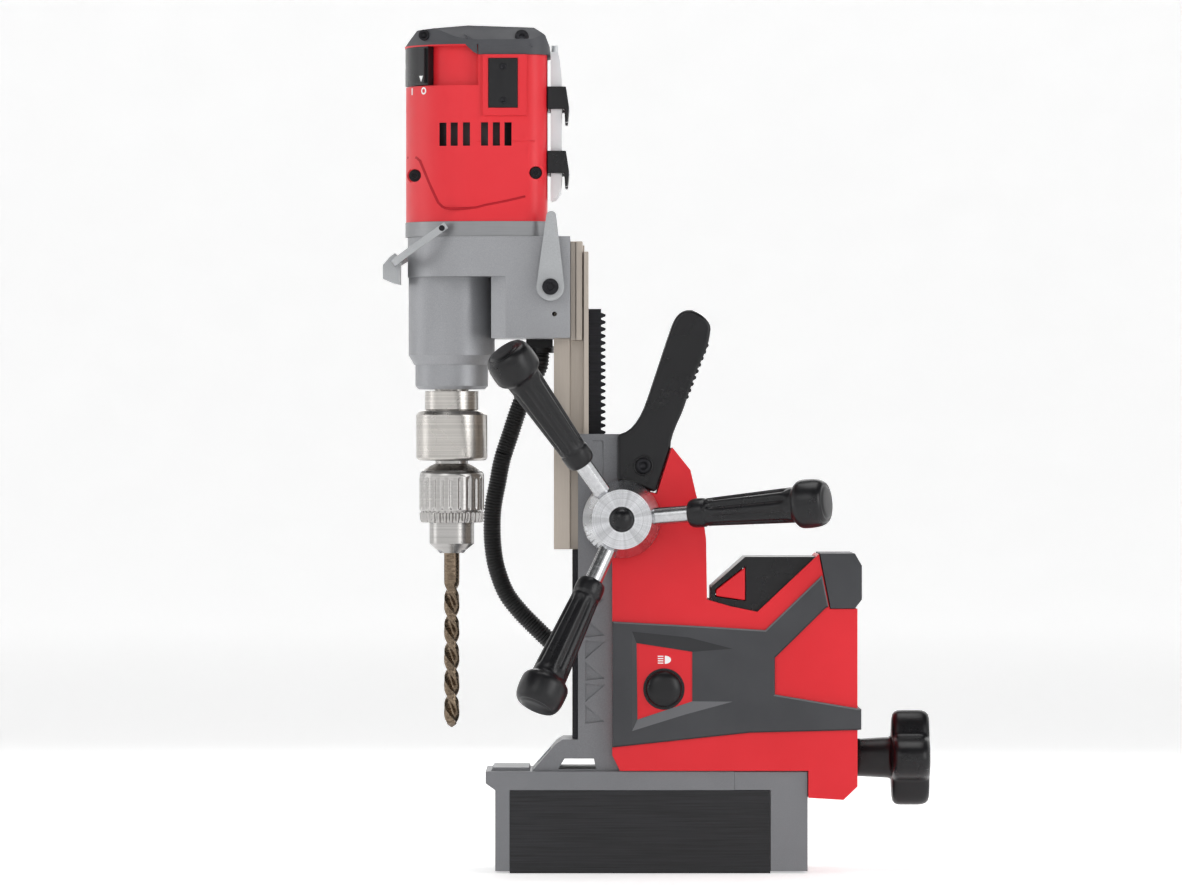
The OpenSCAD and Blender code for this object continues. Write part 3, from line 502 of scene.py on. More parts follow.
# ------------------------------------------------------------------ the conduit (cord first)
ROUTE = [(-57.5, 26, 302), (-57.6, 26, 299.8), (-57.8, 26, 296), (-59, 27, 291), (-64, 28, 281), (-69.6, 29.5, 269.5), (-75.5, 31, 252), (-80, 32.5, 238),
         (-82.5, 34, 225.5), (-85.4, 36, 210), (-86, 38, 196.5), (-85.2, 40, 184), (-83, 41, 173), (-78, 42, 160), (-70.2, 42, 149.5), (-60, 42, 139),
         (-51, 42, 130.5), (-44, 42, 125), (-39, 42, 122.3), (-34.2, 42, 122)]
PITCH = 1.75
cl, clen = spline(ROUTE, PITCH / 5)
prof = [4.72, 4.85, 5.3, 5.3, 4.85]
mid = int(len(cl) * 0.31)
mid -= mid % 5
for nm, a, b_, ba, bb, slot_at in (("conduit_upper", 0, mid + 1, "carriage", "head", 0), ("conduit_lower", mid, len(cl), "root", "carriage", -1)):
    seg_pts = cl[a:b_]
    o = sweep(nm, seg_pts, [prof[(a + i) % 5] for i in range(len(seg_pts))], RIBBED)
    w = o.modifiers.new("normals", "WEIGHTED_NORMAL")
    top, low = seg_pts[0] * MM, seg_pts[-1] * MM
    if nm == "conduit_upper":
        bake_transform(o)
        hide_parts("conduit")
    else:
        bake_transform(o)

# ------------------------------------------------------------------ base
def not_split(e):
    return not all(abs(v.co.y) < 4e-4 for v in e.verts)


refine("base_plate", CAST, "root", "cast_aluminium", 0.8, 3)
refine("base_end_block", CAST, "root", "cast_aluminium", 0.8, 3)
refine("pole_shoes", POLE, "root", "pole_steel", 0.5, 2)
refine("pole_separators", BRASS, "root", "brass", 0.3, 1)
refine("column", CAST, "root", "cast_aluminium", 0.5, 2)
refine("way_strips", OXIDE, "root", "black_oxide", 0.4, 2)
refine("led_lens", LENS, "root", "lens", 0.4, 2)
refine("pinion_bushes", BRASS, "root", "brass", 0.3, 1)
refine("control_board", BOARD, "root", "board_green", 0.3, 1)
refine("housing_near", RED, "root", "red_plastic", 1.6, 3, keep=not_split)
refine("housing_far", RED, "root", "red_plastic", 1.6, 3, keep=not_split)
CROSS = [(-16, 145), (31.5, 142.5), (72, 140), (104.6, 171.5), (108.3, 153.5), (106.5, 152.5), (77.5, 124), (77.5, 103), (125, 95), (127.2, 94.8), (127.2, 82.8), (125, 82.5), (63, 81), (-16, 72.5)]
RIM = [(-4.6, 139.2), (28, 135.8), (53.2, 129.3), (53.2, 98.9), (26.2, 91.6), (-4.6, 82.0)]
WIN = [(-2, 132.5), (30, 127.5), (30, 127.5), (30, 99), (30, 99), (-1.5, 88.5)]
for sgn, nm in ((-1, "near"), (1, "far")):
    bm = bmesh.new()

    def vv(p, y):
        return bm.verts.new(V((p[0], sgn * y, p[1])) * MM)
    top = [vv(p, 46) for p in CROSS]
    base = [vv(p, 44.02) for p in CROSS]
    rim = [vv(p, 46) for p in RIM]
    win = [vv(WIN[i], 44.5) if i not in (2, 4) else None for i in range(6)]
    win[2], win[4] = win[1], win[3]
    low = [vv(WIN[i], 44.02) if i not in (2, 4) else None for i in range(6)]
    low[2], low[4] = low[1], low[3]
    n = len(CROSS)
    for k in range(n):
        bm.faces.new((top[k], top[(k + 1) % n], base[(k + 1) % n], base[k]))
    for k in range(6):
        f = [rim[k], rim[(k + 1) % 6], win[(k + 1) % 6], win[k]]
        g = [win[k], win[(k + 1) % 6], low[(k + 1) % 6], low[k]]
        bm.faces.new(list(dict.fromkeys(f)))
        if win[k] is not win[(k + 1) % 6]:
            bm.faces.new(g)

    def loop_edges(loop):
        out, m = [], len(loop)
        for k in range(m):
            if loop[k] is not loop[(k + 1) % m]:
                out.append(bm.edges.get((loop[k], loop[(k + 1) % m])) or bm.edges.new((loop[k], loop[(k + 1) % m])))
        return out
    bmesh.ops.triangle_fill(bm, use_beauty=True, use_dissolve=False, edges=loop_edges(top) + loop_edges(rim))
    bmesh.ops.triangle_fill(bm, use_beauty=True, use_dissolve=False, edges=loop_edges(base) + loop_edges([low[0], low[1], low[3], low[5]]))
    bmesh.ops.recalc_face_normals(bm, faces=bm.faces)
    bmesh.ops.dissolve_limit(bm, angle_limit=math.radians(0.6), verts=bm.verts, edges=bm.edges, delimit=set())
    es = [e for e in bm.edges if len(e.link_faces) == 2 and e.calc_face_angle(0) > math.radians(60) and all(abs(abs(v.co.y) - 0.046) < 1e-5 for v in e.verts)]
    bmesh.ops.bevel(bm, geom=es, offset=0.9 * MM, offset_type="OFFSET", segments=3, profile=0.5, affect="EDGES", clamp_overlap=True, material=-1)
    o = from_bm("side_overmould_" + nm, bm, DARK, "root", "dark_plastic", ("side_overmoulds",) if sgn < 0 else ())
    o.data.set_sharp_from_angle(angle=math.radians(3))
# the band that joins the two overmoulds round the back
prism("side_overmould_band", [(125.05, 82.8), (127.2, 83.0), (127.2, 94.6), (125.05, 94.8)], -43.9, 43.9, DARK, "root", "dark_plastic", w=0.5, seg=2)
refine("rear_bumper", DARK, "root", "dark_plastic", 2.4, 4)
refine("conduit_gland_lower", BLACK, "root", "black_plastic", 1.2, 3)
refine("handle_bolts", OXIDE, "root", "black_oxide", 0.5, 2)

# ------------------------------------------------------------------ carrying handle
arm = [(-13, 252.5), (-7, 255), (-2.5, 261), (3.5, 271.5), (19.5, 319.5), (24, 324), (31, 323.5), (38.5, 319.5), (40.5, 314.5), (39.5, 305),
       (32, 288), (25.5, 269), (17.5, 249.5), (17.5, 245), (9, 219), (-13, 225.5)]


def bez(p0, p1, p2, n=6):
    return [tuple((V(p0) * (1 - t) ** 2 + V(p1) * 2 * t * (1 - t) + V(p2) * t * t)) for t in [i / n for i in range(n + 1)]]


arm_s = ([(-13, 225.5), (-13, 252.5)] + bez((-11, 252.9), (-1.5, 255), (4.5, 273)) + [(11, 292.5)] +
         bez((18.2, 314.5), (21.5, 324.6), (29, 324.0)) + bez((30, 323.9), (38.5, 320.5), (40.4, 315), 5) + bez((40.6, 313), (39.8, 304), (36.5, 297.5), 5) +
         [(32, 287.5), (25.5, 268.5)] + bez((24, 264.5), (17.2, 250.5), (17.5, 245), 4) + [(9, 219.1)])
handle_parts = []
for s in (-1, 1):
    y0, y1 = (36.2, 43.9) if s > 0 else (-43.9, -36.2)
    prism("handle_arm_%s" % ("far" if s > 0 else "near"), arm_s, y0, y1, BLACK, "root", "black_plastic", w=3.3, seg=6, replaces=("carry_handle",) if s > 0 else ())
grip_s = ([(14.6, 304)] + bez((18.6, 315.5), (21.5, 324.2), (28.5, 323.7)) + bez((30, 323.5), (38.5, 320), (40.1, 315), 5) + bez((40.3, 313), (39.5, 304), (36.6, 298.6), 5) +
          bez((35.5, 297.2), (24, 292), (14.6, 303), 5))
grip_s = [p for i, p in enumerate(grip_s) if i == 0 or (V(p) - V(grip_s[i - 1])).length > 0.8]
if (V(grip_s[0]) - V(grip_s[-1])).length < 0.8:
    grip_s.pop()
prism("handle_cross_grip", grip_s, -37.5, 37.5, BLACK, "root", "black_plastic", w=0.0, seg=1)
for s, nm in ((-1, "near"), (1, "far")):
    Mx = Matrix.Translation(V((1.9, s * 43.4, 234.4)) * MM) @ Matrix.Rotation(math.radians(90 if s < 0 else -90), 4, "X")
    lathe("handle_bolt_ring_" + nm, [(4.6, 0), (5.9, 0), (5.9, 0.9), (5.5, 1.25), (5.0, 1.25), (4.6, 0.9), (4.6, 0)], BLACK, "root", "black_plastic", Mx, 48, closed=False)
    lathe("handle_bolt_head_" + nm, [(0, 0), (4.45, 0), (4.45, 0.9), (4.1, 1.35), (3.3, 1.55), (2.5, 1.5), (2.2, 1.2), (2.1, 0.7), (0, 0.65)], OXIDE, "root", "black_oxide", Mx, 48)
# soft finger ribs along the back of both arms
for s in (-1, 1):
    for k in range(9):
        t = k / 8
        p = V((38.6, 303.5)).lerp(V((27.2, 274)), t)
        q = V((0.94, -0.34))
        pts = [tuple(p + q * dx + V((0.34, 0.94)) * dz) for dx, dz in ((-1.4, -1.1), (0.45, -1.1), (0.85, -0.45), (0.85, 0.45), (0.45, 1.1), (-1.4, 1.1))]
        ya, yb = (37.6, 42.6) if s > 0 else (-42.6, -37.6)
        prism("handle_rib_%s_%d" % ("far" if s > 0 else "near", k), pts, ya, yb, GRIP, "root", "black_plastic", w=0.25, seg=2)

# ------------------------------------------------------------------ feed hub and spokes
refine("hub", HUBM, "feed_hub", "satin_aluminium", 0.5, 3)
refine("pinion_shaft", STEEL, "feed_hub", "gear_steel", 0.2, 1)
refine("spoke_rods", CHROME, "feed_hub", "chrome_steel", 0.3, 2)
hubM = Matrix.Translation(V((-0.0106, -0.0726, 0.2038))) @ Matrix.Rotation(math.radians(90), 4, "X")
lathe("hub_cap_dome", [(0, -1), (7.2, -1), (7.3, 0.2), (7.2, 0.9), (6.6, 1.3), (6.2, 1.9), (5.6, 3.0), (4.4, 4.1), (2.6, 4.9), (1.2, 5.2), (0, 5.3)],
      BLACK, "feed_hub", "black_plastic", hubM, 48, ("hub_cap",))


def smooth(x):
    x = max(0, min(1, x))
    return x * x * (3 - 2 * x)


def grip_rad(a, i, r, z):
    on = smooth((z - 53) / 4) * smooth((103 - z) / 4)
    f = abs(math.cos(4 * a)) ** 6
    return r * (1 - 0.115 * on * (1 - f) * 0.55) - 0.9 * on * math.exp(-((((a * 4 / math.pi) % 1) - 0.5) / 0.16) ** 2)


gp = [(0, 41.6), (5.06, 41.6), (6.6, 41.7), (7.4, 42.3), (8.0, 43.4), (8.35, 45), (8.45, 47), (8.4, 49.5), (8.3, 51), (7.75, 51.6), (7.75, 52.3), (8.1, 53)]
gp += [(8.0 + (z - 53) * 0.044, z) for z in range(54, 105, 2)]
gp += [(10.3, 104.8), (10.7, 105.6), (11.9, 106.6), (13.1, 107.8), (13.8, 109.4), (14.0, 111.2), (14.0, 114.5), (13.8, 117.8), (13.3, 120.4), (12.5, 122.3), (11.5, 123.6),
       (10.6, 124.1), (10.1, 124.0), (9.4, 124.1), (8.8, 124.6), (7.6, 124.95), (4, 125.0), (0, 125.0)]
for i in range(3):
    Mx = (Matrix.Translation(V((-0.0106, -0.0581, 0.2038))) @ Matrix.Rotation(math.radians(-(5 + i * 120)), 4, "Y") @
          Matrix.Rotation(math.radians(-20), 4, "Z") @ Matrix.Rotation(math.radians(90), 4, "Y"))
    lathe("spoke_grip_%d" % (i + 1), gp, GRIP, "feed_hub", "black_plastic", Mx, 96, ("spoke_grips",) if i == 0 else (), rad=grip_rad, closed=False)

# ------------------------------------------------------------------ carriage
refine("slide_bar", BED, "carriage", "bed_steel", 0.9, 3)
refine("rack", OXIDE, "carriage", "black_oxide", 0.12, 1)

# ------------------------------------------------------------------ head
refine("gear_housing", CASTHEAD, "head", "cast_aluminium", 1.4, 3)
refine("motor_flange", FLANGE, "head", "satin_aluminium", 0.5, 2)
refine("motor_shell_near", RED2, "head", "red_plastic", 0.7, 2, keep=not_split)
refine("motor_shell_far", RED2, "head", "red_plastic", 0.7, 2, keep=not_split)
refine("motor_top_cap", CHAR, "head", "charcoal_plastic", 2.2, 4, ang=24)
refine("access_plates", BLACK, "head", "black_plastic", 0.35, 2)
refine("shell_screws", OXIDE, "head", "black_oxide", 0.3, 2)
refine("stator", COPPER, "head", "copper", 0.3, 1)
refine("head_bearings", STEEL, "head", "bright_steel", 0.3, 1)
refine("clamp_jaws", BED, "head", "bed_steel", 0.5, 2)
refine("conduit_gland_upper", BLACK, "head", "black_plastic", 0.6, 2)
refine("bottle_clips", BLACK, "head", "black_plastic", 0.6, 3)
refine("clamp_lever", LEVER, "clamp_lever_body", "lever_grey", 0.8, 3)
refine("lever_bolt", OXIDE, "clamp_lever_body", "black_oxide", 0.5, 2)
refine("gear_selector", LEVER, "selector", "lever_grey", 0.9, 3)
refine("power_switch", BLACK, "switch", "black_plastic", 0.5, 3)
refine("motor_rotor", STEEL, "rotor", "gear_steel", 0.2, 1)
refine("cooling_fan", CHAR, "rotor", "charcoal_plastic", 0.2, 1)
refine("idler_gear", STEEL, "idler", "gear_steel", 0.1, 1)
refine("spindle", COLLAR, "spindle_body", "bright_steel", 0.5, 2, ang=60)
refine("chuck_body", CHUCKM, "spindle_body", "bright_steel", 0.4, 2)
for k in (1, 2, 3):
    refine("chuck_jaw_%d" % k, STEEL, "jaw_%d" % k, "gear_steel", 0.2, 1)
refine("knob_shaft", STEEL, "knob", "gear_steel", 0.2, 1)
refine("magnet_rotor", STEEL, "magnet", "gear_steel", 0.2, 1)
refine("battery_case", BLACK, "battery", "black_plastic", 1.4, 4, keep=lambda e: e.is_convex)
refine("battery_cells", CELL, "battery", "cell_wrap", 0.3, 1)
refine("latch_near", RED, "latch_a", "red_plastic", 0.8, 3)
refine("latch_far", RED, "latch_b", "red_plastic", 0.8, 3)
refine("coolant_bottle", BOTTLE, "bottle", "bottle_plastic", 2.2, 4, ang=24)

# quick-change collar
spM = Matrix.Translation(V((-0.109, 0, 0)))
lathe("quick_collar_turned", [(15.04, 237.5), (18.4, 237.3), (18.9, 237.35), (19.5, 237.6), (20.4, 238.5), (20.65, 238.8), (20.7, 239.2), (20.7, 240), (20.7, 246), (20.7, 252), (20.7, 258), (20.7, 262.9),
                              (20.7, 263.6), (20.6, 263.9), (19.4, 265.4), (18.9, 265.9), (18.3, 266.3), (17.4, 266.5), (16.6, 266.5), (15.04, 266.5), (15.04, 237.5)],
      COLLAR, "collar", "bright_steel", spM, 96, ("quick_collar",), closed=False)


# chuck sleeve: fluted above, a bevel gear below
def sleeve_rad(a, i, r, z):
    if r < 17.2:
        return r
    if z < 207.2:
        t = (a * 30 / (2 * math.pi)) % 1
        tooth = smooth((abs(t - 0.5) - 0.17) / 0.14)
        return r - 1.5 * tooth
    on = smooth((z - 208.6) / 1.2) * smooth((227.6 - z) / 1.2)
    t = (a * 22 / (2 * math.pi)) % 1
    return r - 0.85 * on * math.exp(-(((t - 0.5) / 0.2) ** 4))


lathe("chuck_sleeve_fluted", [(15.08, 213.6), (17.02, 213.6), (17.02, 201.6), (17.25, 201.4), (17.9, 201.5), (18.5, 203.5), (18.8, 206.4), (18.8, 207.1), (18.0, 207.3), (18.0, 208.0), (18.75, 208.4),
                              (18.8, 209), (18.8, 210), (18.8, 211), (18.8, 218), (18.8, 225.5), (18.8, 226.5), (18.8, 227.6), (18.8, 228.4), (18.6, 229.6), (18.0, 230.6), (17.2, 231.1), (15.08, 231.1), (15.08, 213.6)],
      CHUCKM, "sleeve", "bright_steel", spM, 264, ("chuck_sleeve",), rad=sleeve_rad, closed=False)

# twist drill: two helical flutes, 118 degree point, round shank
bm = bmesh.new()
N, R, TIP = 56, 4.5, 82.5
rings = []
zs = [TIP + 0.62 * R * (k / 6) for k in range(1, 7)] + [TIP + 0.62 * R + 0.55 * k for k in range(1, 150)]
zs = [z for z in zs if z < 171] + [171.5, 180, 195, 213.5]
for z in zs:
    d = z - TIP
    cap = min(1.0, d / (0.62 * R))
    tw = -2 * math.pi * min(z, 166) / 31.0
    deep = smooth((168 - z) / 10)
    ring = []
    for k in range(N):
        th = 2 * math.pi * k / N
        u = (th % math.pi) - math.pi / 2
        fl = math.exp(-((abs(u) / 0.70) ** 4))
        q = R * (1 - 0.70 * fl * deep)
        q -= 0.18 * deep * (1 if 0.98 < abs(u) and u < 0 else 0)
        q = min(q, R * cap + 0.02)
        ring.append(bm.verts.new(V((-109 + q * math.cos(th + tw), q * math.sin(th + tw), z)) * MM))
    rings.append(ring)
tip = bm.verts.new(V((-109, 0, TIP)) * MM)
for A, B in zip(rings, rings[1:]):
    for k in range(N):
        bm.faces.new((A[k], A[(k + 1) % N], B[(k + 1) % N], B[k]))
for k in range(N):
    bm.faces.new((tip, rings[0][(k + 1) % N], rings[0][k]))
bm.faces.new(rings[-1])
o = from_bm("twist_drill", bm, DRILL, "spindle_body", "drill_steel", ("drill_bit",))
o.data.set_sharp_from_angle(angle=math.radians(50))

# magnet knob: four soft lobes on a neck
knM = Matrix.Translation(V((0, 0, 0.0652))) @ Matrix.Rotation(math.radians(90), 4, "Y")


def knob_rad(a, i, r, z):
    if z < 145.6:
        return r
    lob = 0.5 + 0.5 * math.cos(4 * a)
    return r * (0.70 + 0.30 * lob ** 0.8)


lathe("magnet_knob_lobed", [(0, 125.7), (10.4, 125.7), (10.9, 126.2), (11.0, 128), (11.3, 134), (11.7, 141), (11.9, 144), (12.6, 145.5), (17.5, 145.7), (22.5, 146.0), (25.2, 146.6), (26.7, 147.8),
                            (27.4, 149.6), (27.5, 152), (27.5, 161), (27.3, 163.6), (26.6, 165.6), (25.2, 167.1), (23, 167.8), (17, 167.8), (15.6, 167.3), (14, 167.2), (6, 167.2), (0, 167.2)],
      BLACK, "knob", "black_plastic", knM, 128, ("magnet_knob",), rad=knob_rad)

# work-light button: soft dome in a rim
btM = Matrix.Translation(V((0.0137, -0.0387, 0.1061))) @ Matrix.Rotation(math.radians(90), 4, "X")
lathe("light_button_dome", [(0, 0), (12.0, 0), (12.0, 1.8), (10.5, 2.0), (10.5, 6.0), (10.4, 7.2), (9.9, 8.3), (8.9, 9.3), (7.2, 10.2), (5, 10.75), (2.5, 11.0), (0, 11.05)],
      BLACK, "button", "black_plastic", btM, 64, ("light_button",))
prism("light_button_bezel", [(13.7 + 11.9 * math.cos(a), 106.1 + 11.9 * math.sin(a)) for a in [2 * math.pi * k / 48 for k in range(48)]] , -44.25, -43.9, BLACK, "root", "black_plastic", w=0.0)


# ------------------------------------------------------------------ marks, screws and small pieces
def flat(name, pts, y, t=0.12, mat=WHITE, body="root", slot="red_plastic"):
    return prism(name, pts, y - t, y, mat, body, slot, w=0.0)


# lamp pictogram
flat("lamp_mark_bowl", [(14.2, 120.6), (14.2, 125.2)] + [(14.6 + 3.2 * math.cos(a), 122.9 + 2.3 * math.sin(a)) for a in [math.pi / 2 - math.pi * k / 10 for k in range(11)]] , -44.0)
for k in range(4):
    flat("lamp_mark_ray_%d" % k, [(10.2, 120.7 + 1.3 * k), (13.4, 120.7 + 1.3 * k), (13.4, 121.3 + 1.3 * k), (10.2, 121.3 + 1.3 * k)], -44.0)


def on_curve(name, deg, z, shape, r, mat, body, slot, t=0.15):
    """A flat mark wrapped on the motor's rounded front, at an angle about the motor axis."""
    bm = bmesh.new()
    lo, hi = [], []
    for (u, w) in shape:
        a = math.radians(deg) + u / r
        lo.append(bm.verts.new(V((-94.5 + (r - 0.2) * math.cos(a), (r - 0.2) * math.sin(a), z + w)) * MM))
        hi.append(bm.verts.new(V((-94.5 + (r + t) * math.cos(a), (r + t) * math.sin(a), z + w)) * MM))
    n = len(shape)
    bm.faces.new(lo)
    bm.faces.new(hi)
    for k in range(n):
        bm.faces.new((lo[k], lo[(k + 1) % n], hi[(k + 1) % n], hi[k]))
    return from_bm(name, bm, mat, body, slot, wn=False, smooth=False)


on_curve("switch_mark_on", 205.5, 450.6, [(-0.6, -2), (0.6, -2), (0.6, 2), (-0.6, 2)], 41.0, WHITE, "head", "red_plastic")
ring = [(math.cos(2 * math.pi * k / 28), math.sin(2 * math.pi * k / 28)) for k in range(28)]
for k in range(28):
    a, c = ring[k], ring[(k + 1) % 28]
    on_curve("switch_mark_off_%02d" % k, 222.6, 450.6, [(2.1 * a[0], 2.1 * a[1]), (2.1 * c[0], 2.1 * c[1]), (1.25 * c[0], 1.25 * c[1]), (1.25 * a[0], 1.25 * a[1])], 41.0, WHITE, "head", "red_plastic")
on_curve("switch_arrow", 222.6, 457.6, [(-1.6, 1.6), (1.6, 1.6), (0, -1.8)], 43.0, WHITE, "switch", "black_plastic")

def wrap(name, pts, r0, r1, mat, body, slot, cx=-94.5, cy=0.0):
    """A closed band piece wrapped about the motor's axis; pts are (degrees, z)."""
    bm = bmesh.new()
    lo = [bm.verts.new(V((cx + r0 * math.cos(math.radians(a)), cy + r0 * math.sin(math.radians(a)), z)) * MM) for a, z in pts]
    hi = [bm.verts.new(V((cx + r1 * math.cos(math.radians(a)), cy + r1 * math.sin(math.radians(a)), z)) * MM) for a, z in pts]
    n = len(pts)
    m = n // 2
    for k in range(m - 1):
        bm.faces.new((lo[k], lo[k + 1], lo[n - 2 - k], lo[n - 1 - k]))
        bm.faces.new((hi[k], hi[k + 1], hi[n - 2 - k], hi[n - 1 - k]))
    for k in range(n):
        bm.faces.new((lo[k], lo[(k + 1) % n], hi[(k + 1) % n], hi[k]))
    o = from_bm(name, bm, mat, body, slot)
    o.data.set_sharp_from_angle(angle=math.radians(40))
    return o


# red lip over the switch recess
up_, dn_ = [], []
for k in range(21):
    a = 151 + 112 * k / 20
    up_.append((a, 477.15))
    dn_.append((a, 475.5 + 0.7 * smooth(k / 12)))
wrap("recess_lip", up_ + dn_[::-1], 36.3, 41.75, RED2, "head", "red_plastic")
# the cap's lower edge slopes down to the cover plate's pad
wrap("cap_slope", [(262, 477.3), (265, 477.3), (268, 477.3), (271, 477.3), (271.5, 471.3), (268, 472.6), (265, 474.6), (262, 476.6)], 37.5, 41.95, CHAR, "head", "charcoal_plastic")


def bead(name, pts, y, w, h, mat, body, slot):
    """A low rounded line that follows an open path in XZ on a flat side; y is the surface."""
    sg = -1 if y < 0 else 1
    bm = bmesh.new()
    P = [V(p) for p in pts]
    rows = []
    for i, p in enumerate(P):
        t = (P[min(i + 1, len(P) - 1)] - P[max(i - 1, 0)]).normalized()
        q = V((-t.y, t.x))
        row = []
        for u, d in ((-1, -0.3), (-0.75, 0.55), (0, 1), (0.75, 0.55), (1, -0.3)):
            c = p + q * (u * w / 2)
            row.append(bm.verts.new(V((c.x, y + sg * h * d, c.y)) * MM))
        rows.append(row)
    for A, B in zip(rows, rows[1:]):
        for k in range(5):
            bm.faces.new((A[k], A[(k + 1) % 5], B[(k + 1) % 5], B[k]))
    bm.faces.new(rows[0])
    bm.faces.new(rows[-1])
    return from_bm(name, bm, mat, body, slot, wn=False)


# painted shade: the panel line is a low raised bead in a darker red that stands in for the shade inside a moulded
# groove
RED_GROOVE_SHADE = plastic("red_painted_groove_shade", rgb("a31420"), rgb("ad1824"), (0.5, 0.6), 1700, 0.2, 0.00005, 0.2)
for sg, nm in ((-1, "near"), (1, "far")):
    bead("panel_line_" + nm, bez((-94.5, 382.9), (-111.5, 381.2), (-113.6, 383.4), 5)[::-1] + bez((-94.5, 383.5), (-80, 385.8), (-66, 389.4), 5)[1:], sg * 41.0, 1.4, 0.24, RED_GROOVE_SHADE, "head", "red_plastic")
    # front part of the line climbs round the motor's rounded front
    pts = [(-113.6, 383.4), (-116.2, 386), (-120, 394), (-124, 403.5), (-126.8, 410.3), (-129, 412.3), (-134.3, 412.6)]
    band_hi, band_lo = [], []
    for k, (x, z) in enumerate(pts):
        c = max(-1, min(1, (x + 94.5) / 41.0))
        a = 180 + (180 - math.degrees(math.acos(c))) if sg < 0 else math.degrees(math.acos(c))
        nx = V(pts[min(k + 1, len(pts) - 1)]) - V(pts[max(k - 1, 0)])
        nx.normalize()
        off = V((-nx.y, nx.x)) * 0.65
        for lst, q in ((band_hi, V((x, z)) + off), (band_lo, V((x, z)) - off)):
            c = max(-1, min(1, (q.x + 94.5) / 41.0))
            t = math.degrees(math.acos(c))
            lst.append(((360 - t) if sg < 0 else t, q.y))
    wrap("panel_line_front_" + nm, band_hi + band_lo[::-1], 40.6, 41.2, RED_GROOVE_SHADE, "head", "red_plastic")
    for k, (x0, x1) in enumerate(((-93.6, -92.1), (-73.2, -60.4))):
        bead("seam_line_%s_%d" % (nm, k), [(x0, 421), (x1, 421)], sg * 41.0, 0.8, 0.25, RED2, "head", "red_plastic")
    # two screws in each cover plate
    for k, z in enumerate((463.9, 444.6)):
        Mx = Matrix.Translation(V((-78.7, sg * 43.5, z)) * MM) @ Matrix.Rotation(math.radians(90 if sg < 0 else -90), 4, "X")
        lathe("cover_screw_%s_%d" % (nm, k), [(0, 0), (2.1, 0), (2.1, 0.35), (1.8, 0.6), (1.0, 0.62), (0.9, 0.3), (0, 0.3)], OXIDE, "head", "black_oxide", Mx, 28)
    # raised rib on the cap
    bead("cap_rib_" + nm, bez((-101, 482.4), (-93, 476.2), (-86, 475.6), 6) + [(-70, 475.6), (-62, 475.8)], sg * 41.6, 1.5, 0.5, CHAR, "head", "charcoal_plastic")
    # border and lines cast into the column's side
    ys = sg * COLY
    for k, (p, q) in enumerate((((-27, 248.8), (-21.4, 248.8)), ((-21.4, 248.8), (-21.4, 228)))):
        bead("column_line_%s_%d" % (nm, k), [p, q], ys, 0.8, 0.3, CAST, "root", "cast_aluminium")
lathe("motor_can", [(33.2, 410.6), (34.0, 410.6), (34.0, 440), (33.2, 440), (33.2, 410.6)], CHAR, "head", "charcoal_plastic",
      Matrix.Translation(V((-94.5, 0, 0)) * MM), 96, rad=lambda a, i, r, z: r + (0.25 * math.cos(24 * a) if r > 33.5 else 0), closed=False)
for sg, nm in ((-1, "near"), (1, "far")):
    Mx = Matrix.Translation(V((-113.9, sg * 45.1, 371)) * MM) @ Matrix.Rotation(math.radians(90 if sg < 0 else -90), 4, "X")
    lathe("selector_pin_" + nm, [(0, 0), (1.7, 0), (1.7, 0.5), (1.3, 0.75), (0.5, 0.8), (0, 0.6)], OXIDE, "selector", "black_oxide", Mx, 24)
lathe("cap_nub", [(0, 0), (2.2, 0), (2.0, 1.0), (1.2, 1.5), (0, 1.6)], CHAR, "head", "charcoal_plastic", Matrix.Translation(V((-71.2, -12, 486.2)) * MM), 24)

# cap screws
for nm, x, z, r, y in (("cap_screw_front", -124.5, 482.6, 3.2, 32.0), ("cap_screw_rear", -68.0, 481.3, 4.0, 41.0)):
    for s in (-1, 1):
        Mx = Matrix.Translation(V((x, s * (y - 3.0), z)) * MM) @ Matrix.Rotation(math.radians(90 if s < 0 else -90), 4, "X")
        lathe("%s_%s" % (nm, "near" if s < 0 else "far"), [(0, 0), (r, 0), (r, 3.2), (r - 0.5, 3.7), (1.7, 3.7), (1.7, 2.2), (0, 2.2)], OXIDE, "head", "black_oxide", Mx, 40)

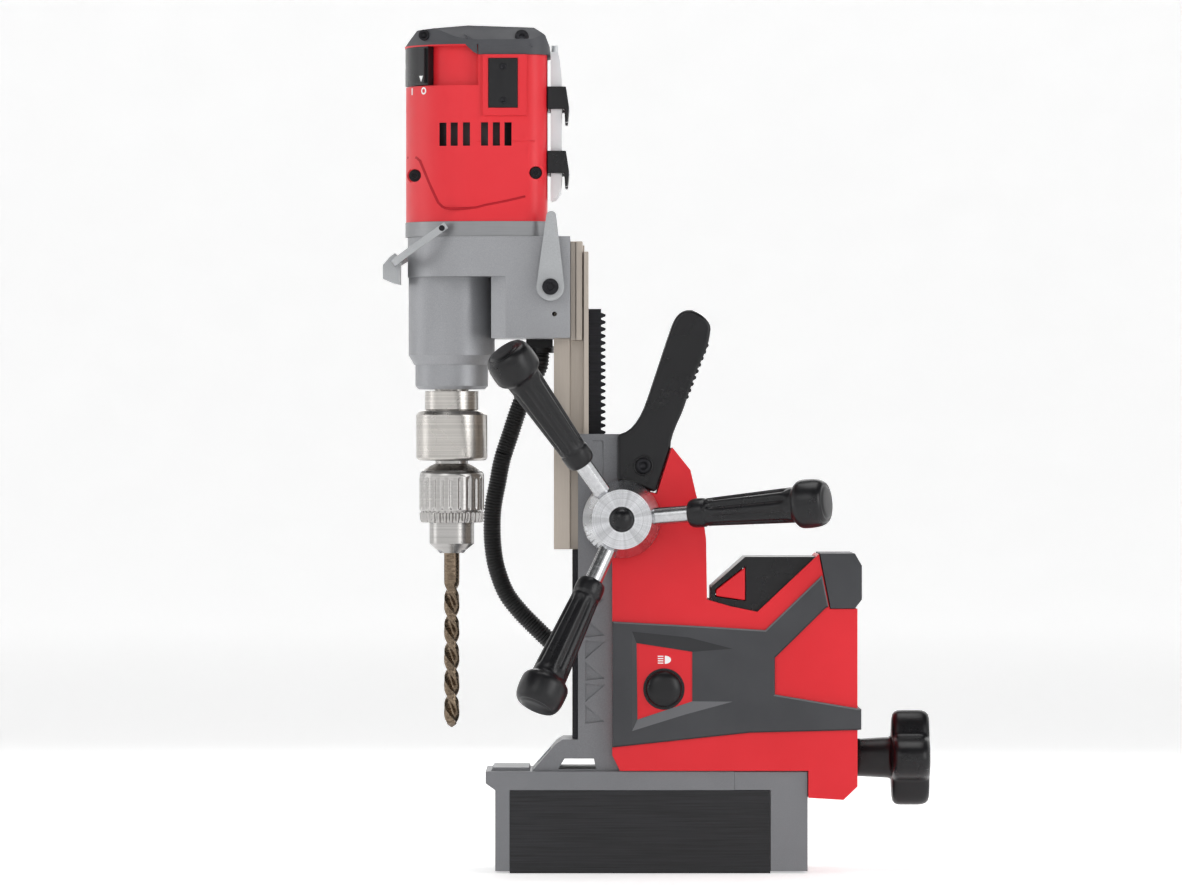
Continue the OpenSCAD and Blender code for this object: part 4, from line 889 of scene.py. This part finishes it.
# ------------------------------------------------------------------ floor, light, world
bm = bmesh.new()
prof = [(0.6, 0), (1.6, 0), (3.5, 0), (6.2, 0)] + [(6.2 + 2.4 * math.sin(math.radians(a)), 2.4 - 2.4 * math.cos(math.radians(a))) for a in range(10, 91, 10)] + [(8.6, 6.5)]
hub_v = bm.verts.new((0, 0, 0))
rows = [[bm.verts.new((r * math.cos(2 * math.pi * k / 64), r * math.sin(2 * math.pi * k / 64), z)) for k in range(64)] for r, z in prof]
for k in range(64):
    bm.faces.new((hub_v, rows[0][k], rows[0][(k + 1) % 64]))
for A, B in zip(rows, rows[1:]):
    for k in range(64):
        bm.faces.new((A[k], B[k], B[(k + 1) % 64], A[(k + 1) % 64]))
floor = from_bm("studio_floor", bm, plastic("pale_floor", rgb("f2f2f2"), rgb("f6f6f6"), (0.6, 0.7), 60, 0.02, 0.0001, 0.1), None, None, wn=False)
fb = floor.data.materials[0].node_tree.nodes["Principled BSDF"]
fb.inputs["Emission Color"].default_value = (1, 1, 1, 1)
fb.inputs["Emission Strength"].default_value = 0.44

world = bpy.data.worlds.new("world")
scene.world = world
world.use_nodes = True
world.node_tree.nodes["Background"].inputs[0].default_value = (1, 1, 1, 1)
world.node_tree.nodes["Background"].inputs[1].default_value = 0.1


def area(name, loc, target, size, power, col=(1, 1, 1)):
    d = bpy.data.lights.new(name, "AREA")
    d.shape = "RECTANGLE"
    d.size, d.size_y = size
    d.energy = power
    d.color = col
    o = bpy.data.objects.new(name, d)
    scene.collection.objects.link(o)
    o.location = loc
    o.rotation_euler = (V(target) - V(loc)).to_track_quat("-Z", "Y").to_euler()
    return o


area("key", (-0.9, -1.6, 1.35), (0, 0, 0.24), (0.9, 0.9), 3.5)
area("fill", (1.3, -1.2, 0.7), (0, 0, 0.24), (0.8, 1.2), 7)
area("top", (0.0, 0.1, 1.7), (0, 0, 0.2), (1.0, 1.0), 8)
area("back", (0.2, 1.5, 1.0), (0, 0, 0.3), (1.4, 1.0), 6)
area("side", (-1.5, 0.1, 0.5), (-0.1, 0, 0.25), (0.5, 1.1), 1.6)
scene.view_settings.view_transform = "Standard"
scene.view_settings.exposure = 0.0
